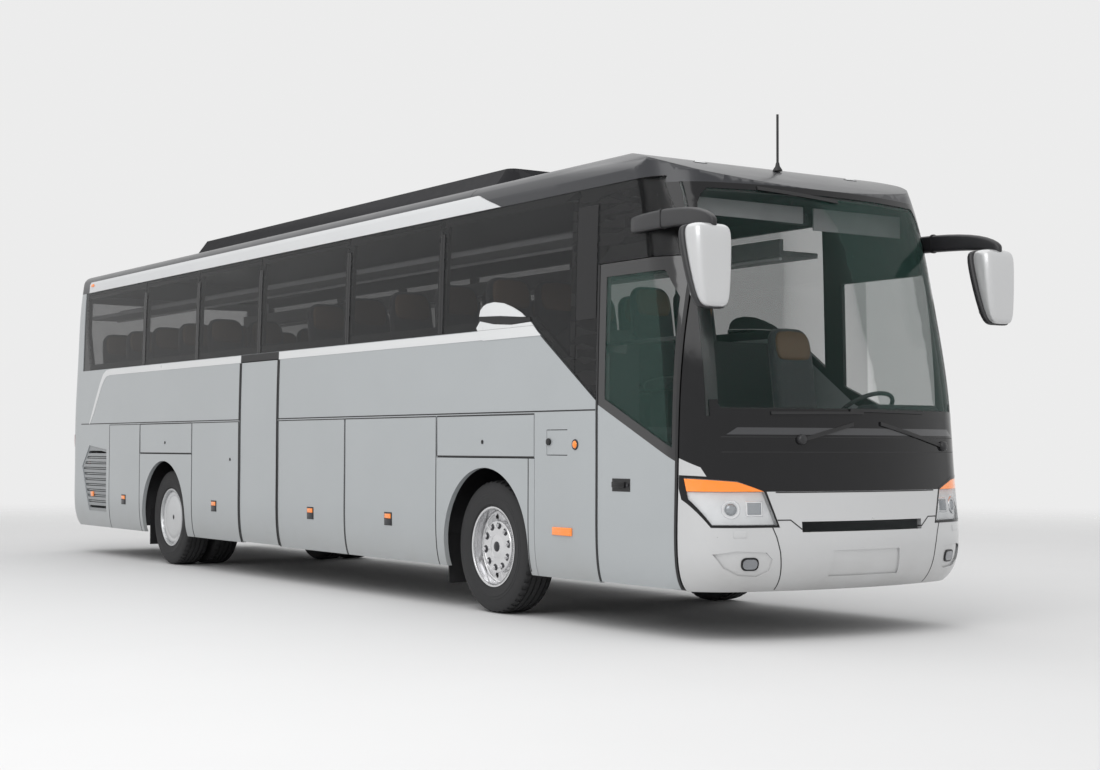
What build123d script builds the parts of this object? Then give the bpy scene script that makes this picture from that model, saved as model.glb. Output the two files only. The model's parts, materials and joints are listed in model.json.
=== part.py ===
from build123d import *
from math import atan2, cos, pi, sin, sqrt
import os

os.makedirs("parts", exist_ok=True)

# Two-axle touring coach, millimetres. +X is forward, +Y is left, +Z is up.
# The origin is on the road under the middle of the coach.

# Overall sizes
overall_length = 12760.0
mirror_reach = 40.0
body_width = 2550.0
form_top = 3600.0
body_bottom = 335.0
overrun = 200.0
half_width = body_width / 2
nose_x = overall_length / 2 - mirror_reach
tail_x = -overall_length / 2

# Plan and lean of the body
bow_radius = 3300.0
corner_radius = 450.0
tail_bow_radius = 9000.0
tail_corner_radius = 230.0
side_tuck = 70.0
nose_rake = 760.0
tail_rake = 130.0

# Body sections, columns: height up the form, side tuck, nose set back, tail set back
body_section_shares = [
    (0.0, 0.64, 0.158, 0.92),
    (0.044, 0.17, 0.02, 0.2),
    (0.13, 0.0, 0.0, 0.0),
    (0.296, 0.0, 0.066, 0.0),
    (0.479, 0.07, 0.16, 0.09),
    (0.663, 0.28, 0.325, 0.31),
    (0.85, 0.6, 0.546, 0.65),
    (1.0, 1.0, 0.92, 1.0),
]

# Wall layers
wall = 40.0
glass = 8.0
rail_proud = 12.0
shut_gap = 6.0
door_gap = 8.0
glass_gap = 4.0

# Levels
belt_seam = 1543.0
arch_flap_bottom = 1205.0
window_bottom = 2200.0
window_top = 3150.0
rail_top = 3280.0
crown_z = 3430.0
bumper_top = 1000.0
windscreen_bottom = 1500.0
windscreen_top = 3100.0
front_door_top = 2590.0
pillar_head_x = nose_x - 740.0
mid_door_top = 2120.0

# Axles, doors and side seams
front_overhang = 2907.0
wheelbase = 6670.0
front_axle_x = nose_x - front_overhang
rear_axle_x = front_axle_x - wheelbase
front_flap_ahead = 717.0
front_flap_behind = 733.0
rear_flap_ahead = 807.0
rear_flap_behind = 693.0
front_door_setback = 480.0
front_door_width = 930.0
bay_1_length = 1620.0
bay_2_length = 1400.0
mid_door_width = 880.0
bay_4_length = 990.0
front_door_front = nose_x - front_door_setback
front_door_rear = front_door_front - front_door_width
front_arch_front = front_axle_x + front_flap_ahead
front_arch_rear = front_axle_x - front_flap_behind
bay_seam = front_arch_rear - bay_1_length
mid_door_front = bay_seam - bay_2_length
mid_door_rear = mid_door_front - mid_door_width
rear_arch_front = rear_axle_x + rear_flap_ahead
rear_arch_rear = rear_axle_x - rear_flap_behind
last_seam = rear_arch_rear - bay_4_length

# Wheels and axles
tyre_radius = 515.0
tyre_width = 285.0
rim_radius = 300.0
rim_wall = 12.0
arch_radius = 620.0
front_track = 2120.0
rear_outer_track = 2080.0
twin_spacing = 340.0
kingpin_y = 840.0
wheelhouse_inner = 480.0
wheelhouse_wall = 15.0
wheelhouse_low = 620.0
wheelhouse_top = 1170.0

# Floors and structure
saloon_floor_top = 1450.0
floor_thickness = 50.0
cab_floor_top = 1020.0
hold_floor_top = 440.0
hold_floor_thickness = 40.0
bulkhead = 40.0


def end_arcs(tip_x, half, bow, corner, sign):
    """Tangent point, middle of the corner arc and start of the straight side."""
    centre_y = half - corner
    bow_centre = tip_x - sign * bow
    centre_x = bow_centre + sign * sqrt((bow - corner) ** 2 - centre_y ** 2)
    reach = bow / (bow - corner)
    tangent = (bow_centre + (centre_x - bow_centre) * reach, centre_y * reach)
    turn = (atan2(tangent[1] - centre_y, (tangent[0] - centre_x) * sign) + pi / 2) / 2
    middle = (centre_x + sign * corner * cos(turn), centre_y + corner * sin(turn))
    return tangent, middle, (centre_x, half)


def across(point):
    """The same point on the other side of the coach."""
    return (point[0], -point[1])


def plan_section(height, half, front_x, rear_x, inset):
    """Plan of the body at one height: bowed ends, round corners, straight sides."""
    nose, nose_mid, nose_side = end_arcs(
        front_x, half, bow_radius - inset, corner_radius - inset, 1
    )
    tail, tail_mid, tail_side = end_arcs(
        rear_x, half, tail_bow_radius - inset, tail_corner_radius - inset, -1
    )
    with BuildSketch(Plane.XY.offset(height)) as section:
        with BuildLine():
            ThreePointArc(across(nose), (front_x, 0), nose)
            ThreePointArc(nose, nose_mid, nose_side)
            Line(nose_side, tail_side)
            ThreePointArc(tail_side, tail_mid, tail)
            ThreePointArc(tail, (rear_x, 0), across(tail))
            ThreePointArc(across(tail), across(tail_mid), across(tail_side))
            Line(across(tail_side), across(nose_side))
            ThreePointArc(across(nose_side), across(nose_mid), across(nose))
        make_face()
    return section.sketch


# Roof line in side view
cap_rear = nose_x - 2030.0
cap_shoulder_x = nose_x - 1230.0
cap_shoulder_drop = 55.0
cap_brow_x = nose_x - 410.0
cap_brow_drop = 330.0

# Roof in front view: crown, rounded edge and the fall below it
crown_half = 1030.0
crown_drop = 45.0
edge_mid_half = 1130.0
edge_mid_drop = 75.0
edge_half = 1190.0
edge_drop = 130.0
edge_run = 300.0
edge_fall = 570.0


def body_form(inset):
    """The whole outer form of the coach, moved inwards by the inset."""
    sections = []
    for height_share, tuck_share, nose_share, tail_share in body_section_shares:
        height = body_bottom + height_share * (form_top - body_bottom)
        half = half_width - tuck_share * side_tuck - inset
        front_x = nose_x - nose_share * nose_rake - inset
        rear_x = tail_x + tail_share * tail_rake + inset
        sections.append(plan_section(height, half, front_x, rear_x, inset))
    crown = crown_z - inset
    shoulder = (crown_half - inset, crown - crown_drop)
    edge_mid = (edge_mid_half - inset, crown - edge_mid_drop)
    edge = (edge_half - inset, crown - edge_drop)
    skirt = (edge[0] + edge_run, edge[1] - edge_fall)
    with BuildPart() as form:
        loft(sections)
        with BuildSketch(Plane.YZ.offset(tail_x - overrun)):
            with BuildLine():
                ThreePointArc((-shoulder[0], shoulder[1]), (0, crown), shoulder)
                ThreePointArc(shoulder, edge_mid, edge)
                Polyline(edge, skirt, (skirt[0], 0), (-skirt[0], 0), (-skirt[0], skirt[1]),
                         (-edge[0], edge[1]))
                ThreePointArc((-edge[0], edge[1]), (-edge_mid[0], edge_mid[1]),
                              (-shoulder[0], shoulder[1]))
            make_face()
        extrude(amount=overall_length + 2 * overrun, mode=Mode.INTERSECT)
        with BuildSketch(Plane.XZ.offset(-half_width - overrun)):
            with BuildLine():
                Polyline(
                    (cap_rear, crown),
                    (cap_rear, form_top),
                    (tail_x - overrun, form_top),
                    (tail_x - overrun, 0),
                    (nose_x + overrun, 0),
                    (nose_x + overrun, crown - cap_brow_drop - overrun),
                    (cap_brow_x, crown - cap_brow_drop),
                )
                ThreePointArc(
                    (cap_brow_x, crown - cap_brow_drop),
                    (cap_shoulder_x, crown - cap_shoulder_drop),
                    (cap_rear, crown),
                )
            make_face()
        extrude(amount=body_width + 2 * overrun, mode=Mode.INTERSECT)
    return form.part


def layer_between(outer, inner):
    """The shell between two forms."""
    with BuildPart() as layer:
        add(outer)
        add(inner, mode=Mode.SUBTRACT)
    return layer.part


skin_form = body_form(0)
glass_back_form = body_form(glass)
wall_back_form = body_form(wall)
wall_layer = layer_between(skin_form, wall_back_form)
glass_layer = layer_between(skin_form, glass_back_form)
frame_layer = layer_between(glass_back_form, wall_back_form)
proud_layer = layer_between(body_form(-rail_proud), skin_form)
side_start = half_width / 2
side_reach = half_width


def holed_face(outline, holes=()):
    """Flat face inside an outline, less its holes."""
    with BuildSketch() as face:
        for points, mode in [(outline, Mode.ADD)] + [(hole, Mode.SUBTRACT) for hole in holes]:
            with BuildLine():
                Polyline(*points, close=True)
            make_face(mode=mode)
    return face.sketch


def side_pieces(layer, side, outlines, holes=()):
    """Parts of a layer inside outlines seen from one side: side is -1 right, 1 left."""
    with BuildPart() as piece:
        with BuildSketch(Plane.XZ.offset(-side * side_start)):
            for outline in outlines:
                add(holed_face(outline, holes))
        extrude(amount=-side * side_reach)
        add(layer, mode=Mode.INTERSECT)
    return piece.part


def side_piece(layer, side, outline, holes=()):
    """Part of a layer inside one outline seen from one side."""
    return side_pieces(layer, side, [outline], holes)


def end_piece(layer, start_x, reach, outline, holes=()):
    """Part of a layer inside an outline seen from one end."""
    with BuildPart() as piece:
        with BuildSketch(Plane.YZ.offset(start_x)):
            add(holed_face(outline, holes))
        extrude(amount=reach)
        add(layer, mode=Mode.INTERSECT)
    return piece.part


def flipped(outline):
    """An end view outline on the other side of the coach."""
    return [(-y, z) for y, z in outline]


def oblong(low, high):
    """The four corners of an upright rectangle."""
    return [low, (high[0], low[1]), high, (low[0], high[1])]


def block(low, high):
    """A box between two corners."""
    with BuildPart() as box:
        with BuildSketch(Plane.XY.offset(low[2])):
            with BuildLine():
                Polyline(*oblong(low[:2], high[:2]), close=True)
            make_face()
        extrude(amount=high[2] - low[2])
    return box.part


def save(piece, name):
    """Label a finished piece and write it."""
    piece.part.label = name
    export_step(piece.part, "parts/" + name + ".step")


end_reach = 1200.0 + overrun
tail_start = tail_x + 480.0
diagonal_top_x = nose_x - 2230.0
diagonal_door_z = 1630.0
diagonal_front_z = 1220.0
inner_half = half_width - wall


def diagonal(x):
    """Height of the edge that falls from the window line to the front corner."""
    if x > front_door_rear:
        run = (x - front_door_rear) / (front_door_front - front_door_rear)
        return diagonal_door_z + run * (diagonal_front_z - diagonal_door_z)
    run = (x - diagonal_top_x) / (front_door_rear - diagonal_top_x)
    return window_bottom + run * (diagonal_door_z - window_bottom)


# Belt panels between the flaps and the windows
with BuildPart() as belt_panels:
    add(side_piece(wall_layer, -1, [
        (tail_start, belt_seam), (mid_door_rear, belt_seam), (mid_door_rear, mid_door_top + door_gap),
        (mid_door_front, mid_door_top + door_gap), (mid_door_front, belt_seam),
        (front_door_rear, belt_seam), (front_door_rear, diagonal_door_z),
        (diagonal_top_x, window_bottom), (tail_start, window_bottom)]))
    add(side_piece(wall_layer, 1, [
        (tail_start, belt_seam), (front_door_rear, belt_seam), (front_door_rear, diagonal_door_z),
        (diagonal_top_x, window_bottom), (tail_start, window_bottom)]))
save(belt_panels, "belt_panels")

# Fixed panels below the belt: beside the front door, at the driver and at the rear corners
filler_front = front_door_rear - 350.0
filler_length = 270.0
filler_low = 1230.0
filler_height = 190.0
filler_hole = oblong((filler_front - filler_length, filler_low), (filler_front, filler_low + filler_height))
grille_low = 520.0
grille_high = 1300.0
grille_rear = tail_start + 50.0
grille_front = last_seam - 90.0
grille_slant = 500.0
grille_drop = 50.0
grille_rim = 30.0


def grille_face(inset):
    """Five-sided outline of the engine bay louvres, moved in by the inset."""
    front_x = grille_front - inset
    rear_x = grille_rear + inset
    middle_x = grille_rear + grille_slant / 2 + inset / 2
    low = grille_low + inset
    high = grille_high - inset
    return [(front_x, low), (front_x, high - grille_drop), (middle_x, high),
            (rear_x, high - grille_slant / 2), (middle_x, low)]


grille_outline = grille_face(0)
with BuildPart() as corner_panels:
    add(side_piece(wall_layer, -1, oblong((front_arch_front, body_bottom), (front_door_rear, belt_seam)),
                   [filler_hole]))
    add(side_piece(wall_layer, 1, [
        (front_arch_front, body_bottom), (front_door_front, body_bottom),
        (front_door_front, diagonal_front_z), (front_door_rear, diagonal_door_z),
        (front_door_rear, belt_seam), (front_arch_front, belt_seam)]))
    for side in (-1, 1):
        add(side_piece(wall_layer, side, oblong((tail_start, body_bottom), (last_seam, belt_seam)),
                       [grille_outline]))

# Fixed panels round the wheels, under the arch flaps
arch_centre_z = 510.0


def arch_cutter(axle_x, side):
    """What the wheel opening takes out of a side panel."""
    with BuildPart() as cutter:
        with BuildSketch(Plane.XZ.offset(-side * side_start)):
            with Locations((axle_x, arch_centre_z)):
                Circle(arch_radius)
            with Locations((axle_x, arch_centre_z - arch_radius)):
                Rectangle(2 * arch_radius, 2 * arch_radius)
        extrude(amount=-side * side_reach)
    return cutter.part


with BuildPart() as lower_panels:
    add(corner_panels.part)
    for axle_x, arch_front, arch_rear in (
        (front_axle_x, front_arch_front, front_arch_rear),
        (rear_axle_x, rear_arch_front, rear_arch_rear),
    ):
        for side in (-1, 1):
            skirt_panel = side_piece(wall_layer, side, oblong((arch_rear, body_bottom),
                                                              (arch_front - shut_gap, arch_flap_bottom)))
            add(skirt_panel - arch_cutter(axle_x, side))
save(lower_panels, "lower_panels")

# Louvres of the engine bay at both rear corners
louvre_pitch = 65.0
louvre_height = 36.0
louvre_count = int((grille_high - grille_low) / louvre_pitch)


def louvre_slots():
    """The open slots between the slats, kept inside the frame."""
    with BuildSketch() as slots:
        for row in range(louvre_count):
            slot_top = grille_low + louvre_pitch * (row + 1)
            slot_foot = slot_top - louvre_pitch + louvre_height
            add(holed_face(oblong((grille_rear, slot_foot), (grille_front, slot_top))))
        add(holed_face(grille_face(grille_rim)), mode=Mode.INTERSECT)
    return slots.sketch


with BuildPart() as side_grilles:
    for side in (-1, 1):
        with BuildSketch(Plane.XZ.offset(-side * side_start)):
            add(holed_face(grille_outline))
            add(louvre_slots(), mode=Mode.SUBTRACT)
        extrude(amount=-side * side_reach)
    add(frame_layer, mode=Mode.INTERSECT)
save(side_grilles, "side_grilles")


# Window frames, the black band that carries the bonded glass
pillar = 70.0
header = 60.0
rear_pillar_x = tail_x + 510.0
rear_pillar_mid_x = tail_x + 560.0
rear_pillar_foot_x = tail_x + 720.0
pane_edges = [rear_pillar_foot_x, tail_x + 2500.0, tail_x + 4030.0, tail_x + 5590.0, tail_x + 7460.0,
              tail_x + 9110.0, nose_x - 1680.0]


def pane_outline(index, inset):
    """Outline of one side pane, its edge moved in by the inset."""
    low_x = pane_edges[index] + inset
    high_x = pane_edges[index + 1] - inset
    low = window_bottom + inset
    high = window_top - inset
    if index == 0:
        return [(rear_pillar_x + inset, high), (rear_pillar_mid_x + inset, (low + high) / 2),
                (low_x, low), (high_x, low), (high_x, high)]
    if high_x > diagonal_top_x:
        return [(low_x, high), (low_x, low), (diagonal_top_x, low), (high_x, diagonal(high_x) + inset),
                (high_x, high)]
    return oblong((low_x, low), (high_x, high))


band_outlines = {
    -1: [(tail_start, window_bottom), (diagonal_top_x, window_bottom), (front_door_rear, diagonal_door_z),
         (front_door_rear, front_door_top), (front_door_front, front_door_top),
         (pillar_head_x, windscreen_top), (pillar_head_x, window_top), (tail_start, window_top)],
    1: [(tail_start, window_bottom), (diagonal_top_x, window_bottom), (front_door_rear, diagonal_door_z),
        (front_door_front, diagonal_front_z), (front_door_front, front_door_top),
        (pillar_head_x, windscreen_top), (pillar_head_x, window_top), (tail_start, window_top)],
}
pane_count = len(pane_edges) - 1
driver_window_rear = front_door_rear - 130.0
driver_window_low = diagonal(front_door_front) + 160.0
driver_window = [
    (driver_window_rear, diagonal(driver_window_rear) + header),
    (front_door_front - pillar, driver_window_low),
    (front_door_front - pillar, front_door_top), (driver_window_rear, front_door_top)]
with BuildPart() as window_frames:
    for side in (-1, 1):
        holes = [pane_outline(index, pillar) for index in range(pane_count)]
        if side > 0:
            holes.append(driver_window)
        add(side_piece(frame_layer, side, band_outlines[side], holes))
save(window_frames, "window_frames")

# Side glass, one pane to each bay
front_pane_rear = pane_edges[-1] + glass_gap
front_pane_head = [(front_door_front, front_door_top), (pillar_head_x, windscreen_top),
                   (pillar_head_x, window_top), (front_pane_rear, window_top)]
front_panes = {
    -1: [(front_pane_rear, diagonal(front_pane_rear)), (front_door_rear, diagonal_door_z),
         (front_door_rear, front_door_top)] + front_pane_head,
    1: [(front_pane_rear, diagonal(front_pane_rear)), (front_door_rear, diagonal_door_z),
        (front_door_front, diagonal_front_z)] + front_pane_head,
}
with BuildPart() as side_glazing:
    for side in (-1, 1):
        panes = [pane_outline(index, glass_gap / 2) for index in range(pane_count)]
        add(side_pieces(glass_layer, side, panes + [front_panes[side]]), clean=False)
save(side_glazing, "side_glazing")

# Rear bodywork
lid_top = 1900.0
lid_bottom = 760.0
lid_half = 950.0
rear_window_low = 2260.0
rear_window_high = 3060.0
rear_window_half = 1040.0
tail_lamp_low = 1040.0
tail_lamp_high = 1430.0
tail_lamp_inner_low = 1010.0
tail_lamp_inner_high = 1060.0
tail_lamp_outer_low = 1200.0
tail_lamp_outer_high = 1240.0
tail_lamp_outline = [
    (tail_lamp_inner_low, tail_lamp_low), (tail_lamp_outer_low, tail_lamp_low),
    (tail_lamp_outer_high, tail_lamp_high), (tail_lamp_inner_high, tail_lamp_high)]
lid_outline = oblong((-lid_half, lid_bottom), (lid_half, lid_top))
rear_window_outline = oblong((-rear_window_half, rear_window_low), (rear_window_half, rear_window_high))


def tail_piece(layer, outline, holes=()):
    """Part of a layer behind the rear corners, inside an outline seen from the rear."""
    return end_piece(layer, tail_start, -end_reach, outline, holes)


tail_outline = oblong((-body_width, body_bottom), (body_width, window_top))
with BuildPart() as rear_wall:
    add(tail_piece(wall_layer, tail_outline,
                   [lid_outline, rear_window_outline, tail_lamp_outline, flipped(tail_lamp_outline)]))
save(rear_wall, "rear_wall")

with BuildPart() as rear_window:
    add(tail_piece(glass_layer, rear_window_outline))
save(rear_window, "rear_window")

with BuildPart() as tail_lamps:
    add(tail_piece(wall_layer, tail_lamp_outline))
    add(tail_piece(wall_layer, flipped(tail_lamp_outline)))
save(tail_lamps, "tail_lamps")

# Hinge lips: a thin strip on the skin that fills the seam above a lid or flap
lip_gap = 0.3
lip_overlap = 8.0

with BuildPart() as engine_lid:
    add(tail_piece(wall_layer, oblong((-lid_half + shut_gap, lid_bottom + shut_gap),
                                      (lid_half - shut_gap, lid_top - shut_gap))))
    add(tail_piece(glass_layer, oblong((-lid_half + shut_gap, lid_top - shut_gap - lip_overlap),
                                       (lid_half - shut_gap, lid_top - lip_gap))))
save(engine_lid, "engine_lid")

# Luggage flaps and the smaller flaps over the wheels


def save_flap(name, side, rear_x, front_x, bottom):
    """A top hinged flap between two seams."""
    low_x = rear_x + shut_gap / 2
    high_x = front_x - shut_gap / 2
    with BuildPart() as flap:
        add(side_piece(wall_layer, side, oblong((low_x, bottom), (high_x, belt_seam - shut_gap))))
        add(side_piece(glass_layer, side, oblong((low_x, belt_seam - shut_gap - lip_overlap),
                                                 (high_x, belt_seam - lip_gap))))
    save(flap, name)


left_seam = (front_arch_rear + rear_arch_front) / 2
flap_table = [
    ("luggage_flap_right_1", -1, bay_seam, front_arch_rear, body_bottom),
    ("luggage_flap_right_2", -1, mid_door_front, bay_seam, body_bottom),
    ("luggage_flap_right_3", -1, rear_arch_front, mid_door_rear, body_bottom),
    ("luggage_flap_right_4", -1, last_seam, rear_arch_rear, body_bottom),
    ("luggage_flap_left_1", 1, left_seam, front_arch_rear, body_bottom),
    ("luggage_flap_left_2", 1, rear_arch_front, left_seam, body_bottom),
    ("luggage_flap_left_3", 1, last_seam, rear_arch_rear, body_bottom),
    ("arch_flap_right_front", -1, front_arch_rear, front_arch_front, arch_flap_bottom + shut_gap),
    ("arch_flap_right_rear", -1, rear_arch_rear, rear_arch_front, arch_flap_bottom + shut_gap),
    ("arch_flap_left_front", 1, front_arch_rear, front_arch_front, arch_flap_bottom + shut_gap),
    ("arch_flap_left_rear", 1, rear_arch_rear, rear_arch_front, arch_flap_bottom + shut_gap),
]
for name, side, rear_x, front_x, bottom in flap_table:
    save_flap(name, side, rear_x, front_x, bottom)

with BuildPart() as filler_flap:
    add(side_piece(wall_layer, -1, oblong(
        (filler_front - filler_length + shut_gap, filler_low + shut_gap),
        (filler_front - shut_gap, filler_low + filler_height - shut_gap))))
    add(side_piece(glass_layer, -1, oblong(
        (filler_front - shut_gap - lip_overlap, filler_low + shut_gap),
        (filler_front - lip_gap, filler_low + filler_height - shut_gap))))
save(filler_flap, "filler_flap")

# Roof
with BuildPart() as roof_panel:
    with BuildSketch(Plane.XY.offset(window_top)):
        with Locations(((cap_rear + tail_x - overrun) / 2, 0)):
            Rectangle(cap_rear - tail_x + overrun, 2 * body_width)
    extrude(amount=form_top - window_top)
    add(wall_layer, mode=Mode.INTERSECT)
save(roof_panel, "roof_panel")

with BuildPart() as roof_front_cap:
    with BuildSketch(Plane.XZ.offset(-body_width)):
        with BuildLine():
            Polyline((cap_rear, window_top), (pillar_head_x, window_top), (pillar_head_x, windscreen_top),
                     (nose_x + overrun, windscreen_top), (nose_x + overrun, form_top), (cap_rear, form_top),
                     close=True)
        make_face()
    extrude(amount=2 * body_width)
    add(wall_layer, mode=Mode.INTERSECT)
save(roof_front_cap, "roof_front_cap")

rail_front_foot = nose_x - 2730.0
rail_front_tip = nose_x - 3100.0
rail_rear = tail_x + 620.0
with BuildPart() as roof_rails:
    for side in (-1, 1):
        add(side_piece(proud_layer, side, [(rail_rear, window_top), (rail_front_foot, window_top),
                                           (rail_front_tip, rail_top), (rail_rear, rail_top)]))
save(roof_rails, "roof_rails")

unit_front = nose_x - 3500.0
unit_rear = nose_x - 10500.0
unit_half = 740.0
unit_top = 3650.0
unit_taper = 35.0
unit_foot = crown_z - 100.0
unit_corner = 300.0
with BuildPart() as air_conditioner:
    with BuildSketch(Plane.XY.offset(unit_foot)):
        with Locations(((unit_front + unit_rear) / 2, 0)):
            RectangleRounded(unit_front - unit_rear, 2 * unit_half, unit_corner)
    extrude(amount=unit_top - unit_foot, taper=unit_taper)
    add(skin_form, mode=Mode.SUBTRACT)
save(air_conditioner, "air_conditioner")

# Front: bumper, mask, lamps, frame and windscreen
lamp_low = 780.0
lamp_inner_low = 740.0
lamp_outer_low = 1150.0
lamp_outer_mid = 1236.0
lamp_mid_z = 950.0
lamp_outer = 1245.0
lamp_high = 1090.0
lamp_brow = 1000.0
lamp_brow_z = 1070.0
lamp_inner = 817.0
lamp_outline = [
    (-lamp_inner_low, lamp_low), (-lamp_outer_low, lamp_low), (-lamp_outer_mid, lamp_mid_z),
    (-lamp_outer, lamp_high), (-lamp_brow, lamp_brow_z), (-lamp_inner, bumper_top)]
slot_half = 555.0
slot_low = 730.0
slot_high = 800.0
ear_x = nose_x - 340.0
ear_z = 1160.0
ear_front_x = nose_x - 250.0
bumper_outline = [
    (front_door_front, body_bottom), (front_door_front, diagonal_front_z), (ear_x, ear_z),
    (ear_front_x, bumper_top), (nose_x + overrun, bumper_top), (nose_x + overrun, body_bottom)]
mask_outline = [
    (front_door_front, windscreen_bottom), (front_door_front, diagonal_front_z), (ear_x, ear_z),
    (ear_front_x, bumper_top), (nose_x + overrun, bumper_top), (nose_x + overrun, windscreen_bottom)]


def nose_piece(layer, side_outline, front_outline, holes=()):
    """Part of a layer ahead of the doors, cut in side view and then in front view."""
    with BuildPart() as piece:
        with BuildSketch(Plane.XZ.offset(-body_width)):
            add(holed_face(side_outline))
        extrude(amount=2 * body_width)
        with BuildSketch(Plane.YZ.offset(pillar_head_x)):
            add(holed_face(front_outline, holes))
        extrude(amount=end_reach, mode=Mode.INTERSECT)
        add(layer, mode=Mode.INTERSECT)
    return piece.part


whole_front = oblong((-body_width, 0), (body_width, form_top))
lamp_holes = [lamp_outline, flipped(lamp_outline)]
with BuildPart() as front_bumper:
    add(nose_piece(wall_layer, bumper_outline, whole_front,
                   lamp_holes + [oblong((-slot_half, slot_low), (slot_half, slot_high))]))
save(front_bumper, "front_bumper")

with BuildPart() as front_mask:
    add(nose_piece(wall_layer, mask_outline, whole_front, lamp_holes))
save(front_mask, "front_mask")


def front_piece(layer, outline, holes=()):
    """Part of a layer ahead of the front door line, inside an outline seen from the front."""
    return end_piece(layer, front_door_front, end_reach, outline, holes)


with BuildPart() as headlamps:
    for hole in lamp_holes:
        add(front_piece(wall_layer, hole))
save(headlamps, "headlamps")

screen_half_low = 1150.0
screen_half_high = 1110.0
screen_outline = [(-screen_half_low, windscreen_bottom), (screen_half_low, windscreen_bottom),
                  (screen_half_high, windscreen_top), (-screen_half_high, windscreen_top)]
screen_hole = [(-screen_half_low + pillar, windscreen_bottom + header),
               (screen_half_low - pillar, windscreen_bottom + header),
               (screen_half_high - pillar, windscreen_top - header),
               (-screen_half_high + pillar, windscreen_top - header)]
screen_side_outline = [
    (front_door_front, windscreen_bottom), (front_door_front, front_door_top),
    (pillar_head_x, windscreen_top), (nose_x + overrun, windscreen_top),
    (nose_x + overrun, windscreen_bottom)]
with BuildPart() as windscreen_frame:
    add(nose_piece(frame_layer, screen_side_outline, whole_front, [screen_hole]))
save(windscreen_frame, "windscreen_frame")

with BuildPart() as windscreen:
    add(nose_piece(glass_layer, screen_side_outline, screen_outline))
save(windscreen, "windscreen")

with BuildPart() as pillar_covers:
    add(nose_piece(glass_layer, screen_side_outline, whole_front, [screen_outline]))
save(pillar_covers, "pillar_covers")

# Swing doors: each has a turning column with two arms and a leaf on their ends
column_y = half_width - 145.0
column_radius = 25.0
column_head = 60.0
arm_half_width = 20.0
arm_height = 30.0
pin_radius = 12.0
pin_clearance = 0.3
lug_half = 30.0
lug_height = 60.0
lug_clearance = 3.0
seat_gap = 0.3
front_arm_length = 700.0
mid_arm_length = 660.0
column_setback = 100.0
front_step_z = 375.0
door_bottom = 345.0
upper_arm_drop = 560.0
front_lower_arm_z = 1060.0
mid_lower_arm_z = 800.0
front_column_x = front_door_front - column_setback
mid_column_x = mid_door_front - column_setback


def save_swing_arm(name, column_x, length, foot_z, arm_heights):
    """Turning column with its arms; each arm ends in a pin that hangs through a lug."""
    pivot_x = column_x - length
    top_z = max(arm_heights) + arm_height / 2 + column_head
    with BuildPart() as swing_arm:
        with BuildSketch(Plane.XY.offset(foot_z)):
            with Locations((column_x, -column_y)):
                Circle(column_radius)
        extrude(amount=top_z - foot_z)
        for arm_z in arm_heights:
            with BuildSketch(Plane.XY.offset(arm_z - arm_height / 2)):
                with Locations(((column_x + pivot_x) / 2, -column_y)):
                    SlotCenterToCenter(length, 2 * arm_half_width)
            extrude(amount=arm_height)
            with BuildSketch(Plane.XY.offset(arm_z - arm_height / 2 - lug_clearance - lug_height)):
                with Locations((pivot_x, -column_y)):
                    Circle(pin_radius)
            extrude(amount=lug_clearance + lug_height)
    save(swing_arm, name)


def hinge_lug(pivot_x, low_z):
    """The eye inside a door that an arm's pin hangs in, reaching to the wall."""
    with BuildPart() as lug:
        with BuildSketch(Plane.XY.offset(low_z)):
            with Locations((pivot_x, -column_y - half_width / 2)):
                Rectangle(2 * lug_half, half_width)
            with Locations((pivot_x, -column_y)):
                Circle(lug_half)
        extrude(amount=lug_height)
        add(wall_back_form, mode=Mode.INTERSECT)
    return lug.part


def door_leaf(rear_x, front_x, top_z, pivot_x, arm_heights, holes):
    """A door leaf as thick as the wall, with a lug for each arm."""
    with BuildPart() as leaf:
        add(side_piece(wall_layer, -1, oblong((rear_x + door_gap, door_bottom), (front_x - door_gap, top_z)),
                       holes))
        for arm_z in arm_heights:
            lug_top = arm_z - arm_height / 2 - lug_clearance
            add(hinge_lug(pivot_x, lug_top - lug_height))
            with BuildSketch(Plane.XY.offset(lug_top - lug_height - lug_clearance)):
                with Locations((pivot_x, -column_y)):
                    Circle(pin_radius + pin_clearance)
            extrude(amount=lug_height + 2 * lug_clearance, mode=Mode.SUBTRACT)
    return leaf


front_arm_heights = [front_lower_arm_z, front_door_top - upper_arm_drop]
mid_arm_heights = [mid_lower_arm_z, mid_door_top - upper_arm_drop / 2]
save_swing_arm("front_door_arm", front_column_x, front_arm_length, front_step_z + seat_gap,
               front_arm_heights)
save_swing_arm("mid_door_arm", mid_column_x, mid_arm_length, hold_floor_top + seat_gap, mid_arm_heights)

door_glass_rear = front_door_rear + 110.0
door_glass_front = front_door_front - 60.0
door_glass_top = front_door_top - 100.0
door_glass_lift = 70.0
door_corner_run = 120.0
door_corner_drop = 190.0
door_glass_outline = [
    (door_glass_rear, diagonal_door_z), (door_glass_front, diagonal_front_z + door_glass_lift),
    (door_glass_front, door_glass_top - door_corner_drop),
    (door_glass_front - door_corner_run, door_glass_top), (door_glass_rear, door_glass_top)]
front_leaf = door_leaf(front_door_rear, front_door_front, front_door_top - door_gap,
                       front_column_x - front_arm_length, front_arm_heights, [door_glass_outline])
save(front_leaf, "front_door_leaf")

with BuildPart() as front_door_glass:
    add(side_piece(glass_layer, -1, door_glass_outline))
save(front_door_glass, "front_door_glass")

mid_leaf = door_leaf(mid_door_rear, mid_door_front, mid_door_top, mid_column_x - mid_arm_length,
                     mid_arm_heights, [])
save(mid_leaf, "mid_door_leaf")

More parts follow.
